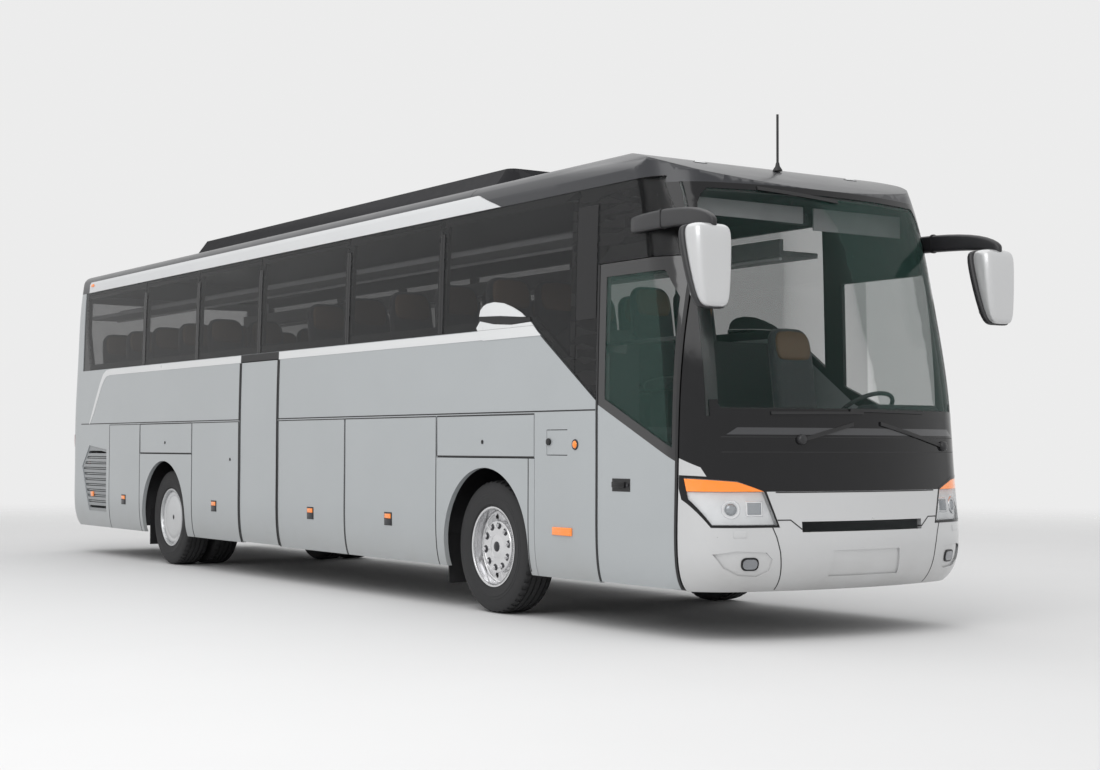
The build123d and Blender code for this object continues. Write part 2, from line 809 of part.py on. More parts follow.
# Floors, side sills and bulkheads
sill_height = 150.0
sill_depth = 60.0
floor_inset = 10.0
floor_half = inner_half - floor_inset
floor_rear = tail_x + 120.0
tow_bore_radius = 20.0
tow_bore_x = nose_x - 250.0
stairwell_depth = 780.0
beam_half_gap = 340.0
beam_width = 80.0
beam_low = hold_floor_top - 90.0


def sill_head(side, entrance):
    """Ledge under the side windows, left open over the middle door."""
    with BuildPart() as ledge:
        with BuildSketch(Plane.XY.offset(belt_seam)):
            add(holed_face(oblong((tail_start, side * (floor_half - sill_depth)),
                                  (front_arch_front, side * body_width)), entrance))
        extrude(amount=sill_height)
        add(wall_back_form, mode=Mode.INTERSECT)
    return ledge.part


stairwell = oblong((mid_door_rear, -body_width), (mid_door_front, stairwell_depth - half_width))
with BuildPart() as saloon_floor:
    with BuildSketch(Plane.XY.offset(saloon_floor_top - floor_thickness)):
        add(holed_face(oblong((floor_rear, -floor_half), (front_arch_front, floor_half)), [stairwell]))
    extrude(amount=floor_thickness)
    add(wall_back_form, mode=Mode.INTERSECT)
    for side in (-1, 1):
        entrance = [] if side > 0 else [oblong((mid_door_rear, -2 * body_width), (mid_door_front, 0))]
        inner_y = side * (floor_half - sill_depth)
        with BuildSketch(Plane.XY.offset(saloon_floor_top)):
            add(holed_face(oblong((tail_start, side * floor_half), (front_arch_front, inner_y)), entrance))
        extrude(amount=belt_seam - saloon_floor_top)
        add(sill_head(side, entrance))
save(saloon_floor, "saloon_floor")

# Underframe: hold floor, bulkheads, wheel housings and rear beams, each welded on with a hair gap
# Columns: rear face, reaches the side panels, stands on the hold floor
bulkheads = [
    (front_arch_front - bulkhead, True, False),
    (front_arch_rear, True, True),
    (mid_door_front - bulkhead, False, True),
    (mid_door_rear, False, True),
    (rear_arch_front - bulkhead, True, True),
    (rear_arch_rear, True, False),
]
beam_y = beam_half_gap + beam_width / 2
hold_half = floor_half - 30.0


def bulkhead_plate(low_x, meets_skin, on_floor):
    """A cross wall under the saloon floor."""
    half = body_width if meets_skin else hold_half
    low_z = hold_floor_top + seat_gap if on_floor else hold_floor_top - hold_floor_thickness
    plate = block((low_x, -half, low_z), (low_x + bulkhead, half, saloon_floor_top - floor_thickness))
    return plate & wall_back_form if meets_skin else plate


with BuildPart() as underframe:
    add(block((rear_arch_front - bulkhead, -hold_half, hold_floor_top - hold_floor_thickness),
              (front_arch_rear + bulkhead, hold_half, hold_floor_top)))
    for low_x, meets_skin, on_floor in bulkheads:
        add(bulkhead_plate(low_x, meets_skin, on_floor))
    for arch_front, arch_rear in ((front_arch_front, front_arch_rear), (rear_arch_front, rear_arch_rear)):
        low_x = arch_rear + bulkhead + seat_gap
        high_x = arch_front - bulkhead - seat_gap
        for side in (-1, 1):
            wall_y = side * (wheelhouse_inner - wheelhouse_wall)
            wall_low, wall_high = sorted((wall_y, side * wheelhouse_inner))
            add(block((low_x, wall_low, wheelhouse_low), (high_x, wall_high, wheelhouse_top - seat_gap)))
            top_low, top_high = sorted((wall_y, side * floor_half))
            add(block((low_x, top_low, wheelhouse_top),
                      (high_x, top_high, wheelhouse_top + wheelhouse_wall)))
    for side in (-1, 1):
        beam = block((tail_x, side * beam_y - beam_width / 2, beam_low),
                     (rear_arch_rear - seat_gap, side * beam_y + beam_width / 2, hold_floor_top))
        add(beam & wall_back_form)
save(underframe, "underframe")

# Front beams, each with an upright bore for the towing pin
with BuildPart() as front_beams:
    for side in (-1, 1):
        with BuildSketch(Plane.XY.offset(beam_low)):
            with Locations(((front_arch_front + seat_gap + nose_x) / 2, side * beam_y)):
                Rectangle(nose_x - front_arch_front - seat_gap, beam_width)
            with Locations((tow_bore_x, side * beam_y)):
                Circle(tow_bore_radius, mode=Mode.SUBTRACT)
        extrude(amount=hold_floor_top - beam_low)
    add(wall_back_form, mode=Mode.INTERSECT)
save(front_beams, "front_beams")

# Cab floor and entrance steps
step_inset = 30.0
step_rear = front_door_rear + step_inset
step_front = front_door_front - step_inset
step_rise = (cab_floor_top - front_step_z) / 3
step_edges = [front_step_z + step_rise * number for number in range(3)]
step_depth = 240.0
first_step_edge = half_width - 125.0
riser = 40.0
last_step_y = 3 * step_depth - first_step_edge
cab_floor_holes = [
    oblong((step_rear, -body_width), (step_front, last_step_y)),
    oblong((front_door_rear - riser, -body_width), (nose_x, last_step_y - riser))]
with BuildPart() as cab_floor:
    with BuildSketch(Plane.XY.offset(cab_floor_top - floor_thickness)):
        add(holed_face(oblong((front_arch_front, -floor_half), (nose_x, floor_half)), cab_floor_holes))
    extrude(amount=floor_thickness)
    add(wall_back_form, mode=Mode.INTERSECT)
    with BuildSketch(Plane.YZ.offset(step_rear)):
        with BuildLine():
            points = [(-first_step_edge, body_bottom)]
            for number, height in enumerate(step_edges):
                edge_y = number * step_depth - first_step_edge
                points += [(edge_y, height), (edge_y + step_depth, height)]
            points += [(last_step_y, cab_floor_top), (last_step_y + riser, cab_floor_top),
                       (last_step_y + riser, step_edges[2] - riser), (last_step_y, step_edges[2] - riser),
                       (last_step_y, body_bottom)]
            Polyline(*points, close=True)
        make_face()
    extrude(amount=step_front - step_rear)
save(cab_floor, "cab_floor")

# Dashboard with its steering wheel
dash_rear = nose_x - 560.0
dash_top = 1480.0
dash_slope = 120.0
wheel_x = dash_rear - 150.0
wheel_y = 650.0
wheel_z = 1560.0
wheel_ring = 225.0
wheel_rim_radius = 16.0
wheel_tilt = 35.0
spoke_radius = 22.0
column_length = 500.0
dash_front_gap = 120.0
dash_right_half = 400.0
with BuildPart() as dashboard:
    with BuildSketch(Plane.XZ.offset(-floor_half)):
        with BuildLine():
            Polyline((dash_rear, cab_floor_top), (dash_rear, dash_top - dash_slope),
                     (dash_rear + dash_slope, dash_top), (nose_x - dash_front_gap, dash_top),
                     (nose_x - dash_front_gap, cab_floor_top), close=True)
        make_face()
    extrude(amount=floor_half + dash_right_half)
    add(wall_back_form, mode=Mode.INTERSECT)
    rim_plane = Plane(origin=(wheel_x, wheel_y, wheel_z), x_dir=(0, 1, 0),
                      z_dir=(-sin(wheel_tilt * pi / 180), 0, cos(wheel_tilt * pi / 180)))
    with BuildSketch(Plane(origin=(wheel_x, wheel_y + wheel_ring, wheel_z), x_dir=rim_plane.z_dir,
                           z_dir=rim_plane.y_dir)):
        Circle(wheel_rim_radius)
    revolve(axis=Axis((wheel_x, wheel_y, wheel_z), rim_plane.z_dir))
    with BuildSketch(rim_plane.offset(-column_length)):
        Circle(spoke_radius)
    extrude(amount=column_length + spoke_radius / 2)
    with BuildSketch(rim_plane.offset(-wheel_rim_radius / 2)):
        Rectangle(2 * wheel_ring, 2 * spoke_radius)
    extrude(amount=wheel_rim_radius)
save(dashboard, "dashboard")

# Seats: one profile, used for the driver and for every passenger
seat_width = 440.0
seat_length = 430.0
seat_height = 430.0
cushion = 130.0
back_height = 720.0
head_height = 150.0
back_lean = 190.0
back_thick = 110.0
seat_pitch = 800.0
pair_gap = 20.0
aisle_half = 260.0
plinth_inset = 60.0
first_row_x = front_arch_front - 350.0
row_count = 12
driver_x = dash_rear - 430.0
driver_seat_y = wheel_y


def seat_outlines(front_x, floor_z):
    """Side outlines of a seat facing forward: the cushion on its plinth, and the back."""
    back_x = front_x - seat_length
    cushion_z = floor_z + seat_height - cushion
    seat_top = floor_z + seat_height
    top_z = seat_top + back_height + head_height
    base = [
        (back_x, floor_z), (front_x - plinth_inset, floor_z), (front_x - plinth_inset, cushion_z),
        (front_x, cushion_z), (front_x, seat_top), (back_x + back_thick / 2, seat_top), (back_x, cushion_z)]
    back = [
        (back_x - seat_gap - back_thick / 2, cushion_z), (back_x - seat_gap, cushion_z),
        (back_x - seat_gap + back_thick / 2, seat_top), (back_x - back_lean + back_thick, top_z),
        (back_x - back_lean, top_z)]
    return base, back


pair_centres = [aisle_half + seat_width / 2, aisle_half + pair_gap + seat_width * 3 / 2]
with BuildPart() as seats:
    for side in (-1, 1):
        for centre in pair_centres:
            with BuildSketch(Plane.XZ.offset(-side * centre - seat_width / 2)):
                for row in range(row_count):
                    seat_front = first_row_x - row * seat_pitch
                    seat_rear = seat_front - seat_length - back_lean
                    if side < 0 and seat_rear < mid_door_front and seat_front > mid_door_rear:
                        continue
                    for outline in seat_outlines(seat_front, saloon_floor_top):
                        add(holed_face(outline))
            extrude(amount=seat_width)
    with BuildSketch(Plane.XZ.offset(-driver_seat_y - seat_width / 2)):
        for outline in seat_outlines(driver_x, cab_floor_top):
            add(holed_face(outline))
    extrude(amount=seat_width)
save(seats, "seats")

# Luggage racks over the seats
rack_low = 2820.0
rack_thick = 40.0
rack_inner = 800.0
rack_lip = 90.0
rack_front = front_door_rear - 400.0
rack_rear = tail_start + 100.0
with BuildPart() as luggage_racks:
    for side in (-1, 1):
        with BuildSketch(Plane.XY.offset(rack_low)):
            add(holed_face(oblong((rack_rear, side * rack_inner), (rack_front, side * body_width))))
        extrude(amount=rack_thick)
        lip_y = side * (rack_inner + rack_thick)
        with BuildSketch(Plane.XY.offset(rack_low)):
            add(holed_face(oblong((rack_rear, side * rack_inner), (rack_front, lip_y))))
        extrude(amount=rack_thick + rack_lip)
    add(wall_back_form, mode=Mode.INTERSECT)
save(luggage_racks, "luggage_racks")

# Engine, a plain block on the rear beams
engine_rear = tail_x + 560.0
engine_length = 1150.0
engine_half = 430.0
engine_height = 850.0
with BuildPart() as engine_block:
    add(block((engine_rear, -engine_half, hold_floor_top), (engine_rear + engine_length, engine_half,
                                                           hold_floor_top + engine_height)))
save(engine_block, "engine_block")

# Mirrors: an arm from over each door and a hanging head
mirror_root_x = front_door_front - 520.0
mirror_root_z = 2825.0
mirror_tip_z = 2760.0
mirror_arm_y = 1290.0
mirror_arm_depth = 60.0
mirror_arm_height = 120.0
mirror_arm_corner = 20.0
head_top = 2740.0
head_bottom = 2180.0
head_half = 165.0
head_depth = 200.0
head_y = 1335.0
head_corner = 60.0
head_x = nose_x + mirror_reach - head_depth / 2
head_brow = 40.0
head_foot_share = 0.8
head_chin_share = 0.6
head_brow_share = 0.85
head_sections = [
    (head_bottom, head_chin_share), (head_bottom + head_brow, head_foot_share), (head_top - head_brow, 1.0),
    (head_top, head_brow_share)]


def mirror_arm(side):
    """Tapering arm from the roof edge behind the door, forward to the mirror head."""
    with BuildPart() as arm:
        for plane_x, centre_y, centre_z, height in (
            (mirror_root_x, half_width - side_tuck / 2, mirror_root_z, mirror_arm_height),
            (front_door_front, mirror_arm_y, mirror_root_z, mirror_arm_height),
            (head_x, head_y, mirror_tip_z, mirror_arm_height / 2),
        ):
            with BuildSketch(Plane.YZ.offset(plane_x)):
                with Locations((side * centre_y, centre_z)):
                    RectangleRounded(mirror_arm_depth, height, mirror_arm_corner)
        loft(ruled=True)
        add(skin_form, mode=Mode.SUBTRACT)
    return arm.part


def mirror_head(side):
    """Hanging head, narrower at its foot and rounded over its top."""
    with BuildPart() as head:
        for plane_z, share in head_sections:
            with BuildSketch(Plane.XY.offset(plane_z)):
                with Locations((head_x, side * head_y)):
                    RectangleRounded(head_depth * share, 2 * head_half * share, head_corner * share)
        loft(ruled=True)
    return head.part


with BuildPart() as mirrors:
    for side in (-1, 1):
        add(mirror_arm(side))
        add(mirror_head(side))
save(mirrors, "mirrors")

# Wipers, thin on the glass
wiper_width = 26.0
# Columns: pivot y, pivot z, tip y, tip z
wiper_lines = [
    (-520.0, 1330.0, -80.0, 1440.0),
    (900.0, 1290.0, 180.0, 1445.0),
    (80.0, 3010.0, -600.0, 3060.0),
]
with BuildPart() as wipers:
    for pivot_y, pivot_z, tip_y, tip_z in wiper_lines:
        add(front_piece(proud_layer, [(pivot_y, pivot_z), (tip_y, tip_z), (tip_y, tip_z + wiper_width),
                                      (pivot_y, pivot_z + wiper_width)]))
save(wipers, "wipers")

# Roof aerial
aerial_x = nose_x - 920.0
aerial_height = 430.0
aerial_radius = 9.0
aerial_foot = 3290.0
with BuildPart() as aerial:
    with BuildSketch(Plane.XY.offset(aerial_foot)):
        with Locations((aerial_x, 0)):
            Circle(aerial_radius)
    extrude(amount=aerial_height)
    add(skin_form, mode=Mode.SUBTRACT)
save(aerial, "aerial")

# Mud flaps
mud_flap = 12.0
mud_flap_low = 190.0
mud_flap_half = 120.0
mud_flap_top = 590.0
with BuildPart() as mud_flaps:
    for arch_rear, centre_y in ((front_arch_rear, front_track / 2), (rear_arch_rear, rear_outer_track / 2)):
        for side in (-1, 1):
            with BuildSketch(Plane.XY.offset(mud_flap_low)):
                with Locations((arch_rear + bulkhead + mud_flap / 2, side * centre_y)):
                    Rectangle(mud_flap, 2 * mud_flap_half)
            extrude(amount=mud_flap_top - mud_flap_low)
save(mud_flaps, "mud_flaps")

# Tyres: rounded shoulders, flat tread
tread_half = 98.0
shoulder_radius = 480.0
shoulder_inset = 8.0
shoulder_round = 18.0
tread_drop = 9.0
bead_half = 110.0
bore_gap = 0.3
bore_radius = rim_radius + bore_gap


def save_tyre(name, centre_x, centres_y):
    """Tyre rings on one wheel body."""
    with BuildPart() as tyre:
        for centre_y in centres_y:
            with BuildSketch(Plane.XY.offset(tyre_radius)):
                with BuildLine():
                    bore_x = centre_x + bore_radius
                    wall_x = centre_x + (bore_radius + shoulder_radius) / 2
                    shoulder_x = centre_x + shoulder_radius
                    corner_x = centre_x + tyre_radius - tread_drop
                    tread_x = centre_x + tyre_radius
                    for sign in (-1, 1):
                        wall_y = centre_y + sign * tyre_width / 2
                        bead = (bore_x, centre_y + sign * bead_half)
                        shoulder = (shoulder_x, wall_y - sign * shoulder_inset)
                        ThreePointArc(bead, (wall_x, wall_y), shoulder)
                        ThreePointArc(shoulder, (corner_x, wall_y - sign * shoulder_round),
                                      (tread_x, centre_y + sign * tread_half))
                    Line((bore_x, centre_y - bead_half), (bore_x, centre_y + bead_half))
                    Line((tread_x, centre_y - tread_half), (tread_x, centre_y + tread_half))
                make_face()
            revolve(axis=Axis((centre_x, 0, tyre_radius), (0, 1, 0)))
    save(tyre, name)


# Rims with disc, hub and the flange that the discs share
hub_radius = 140.0
hub_back = 40.0
rear_hub_out = 30.0
disc_wall = 14.0
front_disc_out = 35.0
hub_reach = 60.0
hole_ring = 242.0
hand_hole = 22.0
hand_holes = 10
rim_half = 118.0
flange_height = 24.0
plateau_radius = 200.0
plateau_reach = 55.0
cover_out = 85.0


def save_rim(name, centre_x, side, centres_y, disc_y, hub_low_y, hub_high_y, ring_half, cap):
    """Barrel under each tyre, one disc between hub and barrel, hub along the axle, and a cap outside.
    The cap is its radius and the two y values that it lies between."""
    axis = Axis((centre_x, 0, tyre_radius), (0, 1, 0))
    with BuildPart() as rim:
        for centre_y in centres_y:
            with BuildSketch(Plane.XY.offset(tyre_radius)):
                with Locations((centre_x + rim_radius - rim_wall / 2, side * centre_y)):
                    Rectangle(rim_wall, 2 * rim_half)
                for edge in (-1, 1):
                    flange_y = side * centre_y + edge * (rim_half + rim_wall / 2)
                    with Locations((centre_x + rim_radius, flange_y)):
                        Rectangle(flange_height, rim_wall)
            revolve(axis=axis)
        with BuildSketch(Plane.XY.offset(tyre_radius)):
            with Locations((centre_x + (rim_radius - rim_wall / 2) / 2, side * disc_y)):
                Rectangle(rim_radius - rim_wall / 2, disc_wall)
            with Locations((centre_x + rim_radius - rim_wall, side * disc_y)):
                Rectangle(2 * rim_wall, 2 * ring_half)
            low_y, high_y = sorted((side * hub_low_y, side * hub_high_y))
            with Locations((centre_x + hub_radius / 2, (low_y + high_y) / 2)):
                Rectangle(hub_radius, high_y - low_y)
            cap_radius, cap_low_y, cap_high_y = cap
            with Locations((centre_x + cap_radius / 2, side * (cap_low_y + cap_high_y) / 2)):
                Rectangle(cap_radius, cap_high_y - cap_low_y)
        revolve(axis=axis)
        with BuildSketch(Plane.XZ.offset(-side * disc_y - disc_wall)):
            with Locations((centre_x, tyre_radius)):
                with PolarLocations(hole_ring, hand_holes):
                    Circle(hand_hole)
        extrude(amount=2 * disc_wall, mode=Mode.SUBTRACT)
    save(rim, name)


knuckle_plate = 30.0
front_wheel_y = front_track / 2
front_disc_y = front_wheel_y + front_disc_out
rear_wheel_y = rear_outer_track / 2
rear_inner_y = rear_wheel_y - twin_spacing
rear_disc_y = rear_wheel_y - twin_spacing / 2
for label, side in (("right", -1), ("left", 1)):
    save_tyre("front_tyre_" + label, front_axle_x, [side * front_wheel_y])
    save_tyre("rear_tyres_" + label, rear_axle_x, [side * rear_wheel_y, side * rear_inner_y])
    save_rim("front_rim_" + label, front_axle_x, side, [front_wheel_y], front_disc_y,
             front_wheel_y - hub_back, front_disc_y + plateau_reach, disc_wall,
             (plateau_radius, front_disc_y, front_disc_y + plateau_reach))
    save_rim("rear_rims_" + label, rear_axle_x, side, [rear_wheel_y, rear_inner_y], rear_disc_y,
             rear_disc_y - hub_reach, rear_wheel_y + rear_hub_out, twin_spacing / 2 - rim_half + disc_wall,
             (rim_radius - rim_wall / 2, rear_wheel_y + cover_out, rear_wheel_y + cover_out + rim_wall))

# Knuckles: a fork on the kingpin and a stub for the hub
boss_radius = 45.0
boss_height = 130.0
fork_height = 30.0
fork_gap = 0.3
stub_radius = 60.0
fork_reach = 80.0
for label, side in (("right", -1), ("left", 1)):
    with BuildPart() as knuckle:
        for sign in (-1, 1):
            fork_z = tyre_radius + sign * (boss_height / 2 + fork_gap + fork_height / 2) - fork_height / 2
            with BuildSketch(Plane.XY.offset(fork_z)):
                with Locations((front_axle_x, side * kingpin_y)):
                    Circle(boss_radius)
                with Locations((front_axle_x, side * (kingpin_y + fork_reach / 2))):
                    Rectangle(2 * boss_radius, fork_reach)
            extrude(amount=fork_height)
        plate_y = kingpin_y + fork_reach
        with BuildSketch(Plane.XY.offset(tyre_radius - boss_height / 2 - fork_gap - fork_height)):
            with Locations((front_axle_x, side * (plate_y - knuckle_plate / 2))):
                Rectangle(2 * boss_radius, knuckle_plate)
        extrude(amount=boss_height + 2 * fork_gap + 2 * fork_height)
        with BuildSketch(Plane.XZ.offset(-side * (plate_y - knuckle_plate / 2))):
            with Locations((front_axle_x, tyre_radius)):
                Circle(stub_radius)
        extrude(amount=-side * (front_wheel_y - hub_back - seat_gap - plate_y + knuckle_plate / 2))
    save(knuckle, "knuckle_" + label)

# Axles: beam or casing, with two air springs up to the floor
spring_radius = 95.0
spring_y = 330.0
beam_height = 90.0
beam_half = 45.0
casing_radius = 75.0
diff_radius = 170.0
jack_pad_length = 160.0
jack_pad_depth = 15.0
with BuildPart() as front_axle:
    with BuildSketch(Plane.XZ.offset(-kingpin_y)):
        with Locations((front_axle_x, tyre_radius)):
            Rectangle(2 * beam_half, beam_height)
    extrude(amount=2 * kingpin_y)
    with BuildSketch(Plane.XY.offset(tyre_radius - beam_height / 2 - jack_pad_depth)):
        with Locations((front_axle_x, 0)):
            Rectangle(2 * beam_half, jack_pad_length)
    extrude(amount=jack_pad_depth)
    for side in (-1, 1):
        with BuildSketch(Plane.XY.offset(tyre_radius - boss_height / 2)):
            with Locations((front_axle_x, side * kingpin_y)):
                Circle(boss_radius)
        extrude(amount=boss_height)
        with BuildSketch(Plane.XY.offset(tyre_radius)):
            with Locations((front_axle_x, side * spring_y)):
                Circle(spring_radius)
        extrude(amount=saloon_floor_top - floor_thickness - tyre_radius)
save(front_axle, "front_axle")

with BuildPart() as rear_axle:
    casing_half = rear_disc_y - hub_reach - seat_gap
    with BuildSketch(Plane.XZ.offset(-casing_half)):
        with Locations((rear_axle_x, tyre_radius)):
            Circle(casing_radius)
    extrude(amount=2 * casing_half)
    with BuildSketch(Plane.XZ.offset(-diff_radius)):
        with Locations((rear_axle_x, tyre_radius)):
            Circle(diff_radius)
    extrude(amount=2 * diff_radius)
    for side in (-1, 1):
        with BuildSketch(Plane.XY.offset(tyre_radius)):
            with Locations((rear_axle_x, side * spring_y)):
                Circle(spring_radius)
        extrude(amount=saloon_floor_top - floor_thickness - tyre_radius)
save(rear_axle, "rear_axle")
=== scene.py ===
"""Looks of a three-window-line coach bus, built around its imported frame."""
import json
import math

import bpy
from mathutils import Matrix, Vector


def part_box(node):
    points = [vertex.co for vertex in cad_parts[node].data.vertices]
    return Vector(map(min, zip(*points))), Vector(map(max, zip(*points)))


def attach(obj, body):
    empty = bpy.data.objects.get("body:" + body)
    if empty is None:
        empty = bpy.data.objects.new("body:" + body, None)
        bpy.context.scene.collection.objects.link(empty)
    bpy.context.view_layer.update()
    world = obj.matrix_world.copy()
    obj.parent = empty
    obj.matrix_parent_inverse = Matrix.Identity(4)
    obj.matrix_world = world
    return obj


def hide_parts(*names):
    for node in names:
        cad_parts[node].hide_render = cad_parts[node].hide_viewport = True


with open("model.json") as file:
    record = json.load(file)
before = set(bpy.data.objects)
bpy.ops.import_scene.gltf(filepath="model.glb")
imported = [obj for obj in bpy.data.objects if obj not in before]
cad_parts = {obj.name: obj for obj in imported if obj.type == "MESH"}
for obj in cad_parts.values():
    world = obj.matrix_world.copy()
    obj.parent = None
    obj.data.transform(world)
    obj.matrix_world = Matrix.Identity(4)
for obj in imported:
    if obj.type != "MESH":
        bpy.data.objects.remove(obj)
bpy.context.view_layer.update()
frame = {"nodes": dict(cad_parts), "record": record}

bl_info = {
    "name": "Coach bus looks",
    "version": (1, 0, 0),
    "blender": (4, 5, 0),
    "location": "3D View > Sidebar > Coach",
    "description": "Paint, glass, wheels, lamps, seats and trim of a coach bus",
    "category": "Object",
}

# Places read from the frame
front_low, front_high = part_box("front_tyre_right")
rear_low, rear_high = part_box("rear_tyres_right")
body_low, body_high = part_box("lower_panels")
front_axle_x = (front_low.x + front_high.x) / 2
rear_axle_x = (rear_low.x + rear_high.x) / 2
tyre_radius = (front_high.z - front_low.z) / 2
tyre_width = front_high.y - front_low.y
half_width = -body_low.y
nose_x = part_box("front_bumper")[1].x
tail_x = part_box("rear_wall")[0].x
SIDES = (("right", -1), ("left", 1))


class Value:
    """A value that changes over a surface: sums written on it become nodes of its material."""

    def __init__(self, finish, socket):
        self.finish = finish
        self.socket = socket

    def join(self, operation, first, second):
        return self.finish.node("ShaderNodeMath", {"operation": operation}, {0: first, 1: second})

    def __add__(self, other):
        return self.join("ADD", self, other)

    def __mul__(self, other):
        return self.join("MULTIPLY", self, other)

    def __sub__(self, other):
        return self.join("SUBTRACT", self, other)

    def __rsub__(self, other):
        return self.join("SUBTRACT", other, self)

    def __gt__(self, other):
        return self.join("GREATER_THAN", self, other)

    def __lt__(self, other):
        return self.join("LESS_THAN", self, other)

    __radd__ = __add__
    __rmul__ = __mul__


class Finish:
    """One material of the coach, with its shader's sockets set or fed by values."""

    def __init__(self, name, **constants):
        self.material = bpy.data.materials.new(name)
        self.material.use_nodes = True
        self.tree = self.material.node_tree
        self.shader = self.tree.nodes["Principled BSDF"]
        for socket, value in constants.items():
            self.shader.inputs[socket.replace("_", " ")].default_value = value
        self.place = self.node("ShaderNodeTexCoord", {}, {}, "Object")

    def node(self, kind, settings, values, output=0):
        made = self.tree.nodes.new(kind)
        for key, value in settings.items():
            setattr(made, key, value)
        for key, value in values.items():
            if isinstance(value, Value):
                self.tree.links.new(value.socket, made.inputs[key])
            else:
                made.inputs[key].default_value = value
        return Value(self, made.outputs[output])

    def axis(self, name):
        return self.node("ShaderNodeSeparateXYZ", {}, {"Vector": self.place}, name)

    def noise(self, scale, detail=3.0, place=None):
        return self.node("ShaderNodeTexNoise", {}, {"Vector": place or self.place, "Scale": scale,
                                                    "Detail": detail})

    def mix(self, mask, first, second):
        return self.node("ShaderNodeMix", {"data_type": "RGBA"}, {0: mask, 6: first, 7: second}, 2)

    def feed(self, socket, value):
        self.tree.links.new(value.socket, self.shader.inputs[socket])

    def bump(self, height, distance, strength=1.0):
        self.feed("Normal", self.node("ShaderNodeBump", {}, {"Height": height, "Distance": distance,
                                                            "Strength": strength}, "Normal"))


def rgba(colour, share=1.0):
    """The colour with full cover, made darker or lighter by a share."""
    return (colour[0] * share, colour[1] * share, colour[2] * share, 1.0)


def paint(name, colour, roughness, metallic=0.0, coat=0.5, fleck=0.0):
    """Sprayed paint: soft waves in the gloss, a faint peel, and road dust along the sill."""
    finish = Finish(name, Metallic=metallic, Coat_Weight=coat, Coat_Roughness=0.06)
    wave = finish.noise(1.3, 2.0)
    dust = finish.noise(4.0, 5.0)
    near_sill = finish.node("ShaderNodeMapRange", {"interpolation_type": "SMOOTHSTEP"},
                            {0: finish.axis("Z"), 1: 0.75, 2: 0.30, 3: 0.0, 4: 0.35})
    tone = finish.mix(wave, rgba(colour, 0.96), rgba(colour, 1.04))
    if fleck:
        tone = finish.mix(finish.noise(900.0, 1.0) * fleck, tone, rgba(colour, 1.5))
    finish.feed("Base Color", finish.mix(near_sill * dust, tone, rgba((0.30, 0.28, 0.25))))
    finish.feed("Roughness", roughness - 0.03 + dust * 0.08 + near_sill * 0.2)
    finish.bump(finish.noise(260.0, 1.0), 0.00003, 0.35)
    return finish.material


def moulded(name, colour, roughness, grain=420.0, depth=0.00015, **constants):
    """Moulded plastic, rubber or plain painted steel with a fine grain."""
    finish = Finish(name, **constants)
    wear = finish.noise(9.0, 4.0)
    finish.feed("Base Color", finish.mix(wear, rgba(colour, 0.85), rgba(colour, 1.2)))
    finish.feed("Roughness", roughness - 0.06 + wear * 0.12)
    finish.bump(finish.noise(grain, 2.0), depth, 0.6)
    return finish.material


def pane(name, colour, clear, rim=0.5, cab_clear=None):
    """Window glass that lets a share of the light through and mirrors more when seen along its face."""
    finish = Finish(name, Roughness=0.02, Specular_IOR_Level=0.6, IOR=1.5)
    if cab_clear:
        beside_driver = finish.axis("X") > front_axle_x + 1.6
        clear = beside_driver * (cab_clear - clear) + clear
    smear = finish.noise(2.2, 3.0)
    finish.feed("Base Color", finish.mix(smear, rgba(colour, 0.9), rgba(colour, 1.1)))
    facing = finish.node("ShaderNodeLayerWeight", {}, {"Blend": 0.25}, "Fresnel")
    finish.feed("Alpha", 1.0 - (clear - facing * clear * rim))
    finish.feed("Roughness", 0.015 + smear * 0.02)
    return finish.material


def lens(name, colour, clear, ribs, glow=0.0):
    """Ribbed lamp glass in one colour."""
    finish = Finish(name, Roughness=0.08, Coat_Weight=1.0, Coat_Roughness=0.03, Emission_Strength=glow)
    wave = finish.node("ShaderNodeTexWave", {"wave_type": "BANDS", "bands_direction": "DIAGONAL"},
                       {"Vector": finish.place, "Scale": ribs})
    finish.feed("Base Color", finish.mix(wave, rgba(colour, 0.8), rgba(colour, 1.15)))
    finish.feed("Emission Color", finish.mix(wave, rgba(colour, 0.7), rgba(colour)))
    finish.feed("Alpha", (1.0 - clear) + wave * 0.05)
    finish.bump(wave, 0.0006)
    return finish.material


def cloth(name, colour, second, thread=700.0):
    """Woven seat cloth with a fine rib and small flecks."""
    finish = Finish(name, Sheen_Weight=0.3, Sheen_Roughness=0.5)
    rib = finish.node("ShaderNodeTexWave", {"bands_direction": "Y"},
                      {"Vector": finish.place, "Scale": thread / 6})
    fleck = finish.noise(60.0, 4.0)
    finish.feed("Base Color", finish.mix((fleck > 0.56) * 0.7, rgba(colour), rgba(second)))
    finish.feed("Roughness", 0.8 + fleck * 0.15)
    finish.bump(rib + finish.noise(thread, 1.0), 0.0006)
    return finish.material


def rubber(name, colour):
    """Tyre rubber, greyer where the road has polished the tread."""
    finish = Finish(name)
    dust = finish.noise(18.0, 6.0)
    finish.feed("Base Color", finish.mix(dust, rgba(colour, 0.8), rgba(colour, 1.7)))
    finish.feed("Roughness", 0.62 + dust * 0.25)
    finish.bump(finish.noise(300.0, 3.0), 0.0003, 0.7)
    return finish.material


def turned(name, colour, roughness, scratch):
    """Bare or painted wheel metal with fine turned lines and brake dust."""
    finish = Finish(name, Metallic=1.0)
    dust = finish.noise(22.0, 5.0)
    lines = finish.noise(scratch, 2.0)
    finish.feed("Base Color", finish.mix(dust * 0.15, rgba(colour), rgba(colour, 0.5)))
    finish.feed("Roughness", roughness + lines * 0.05 + dust * 0.05)
    finish.bump(lines, 0.000006, 0.3)
    return finish.material


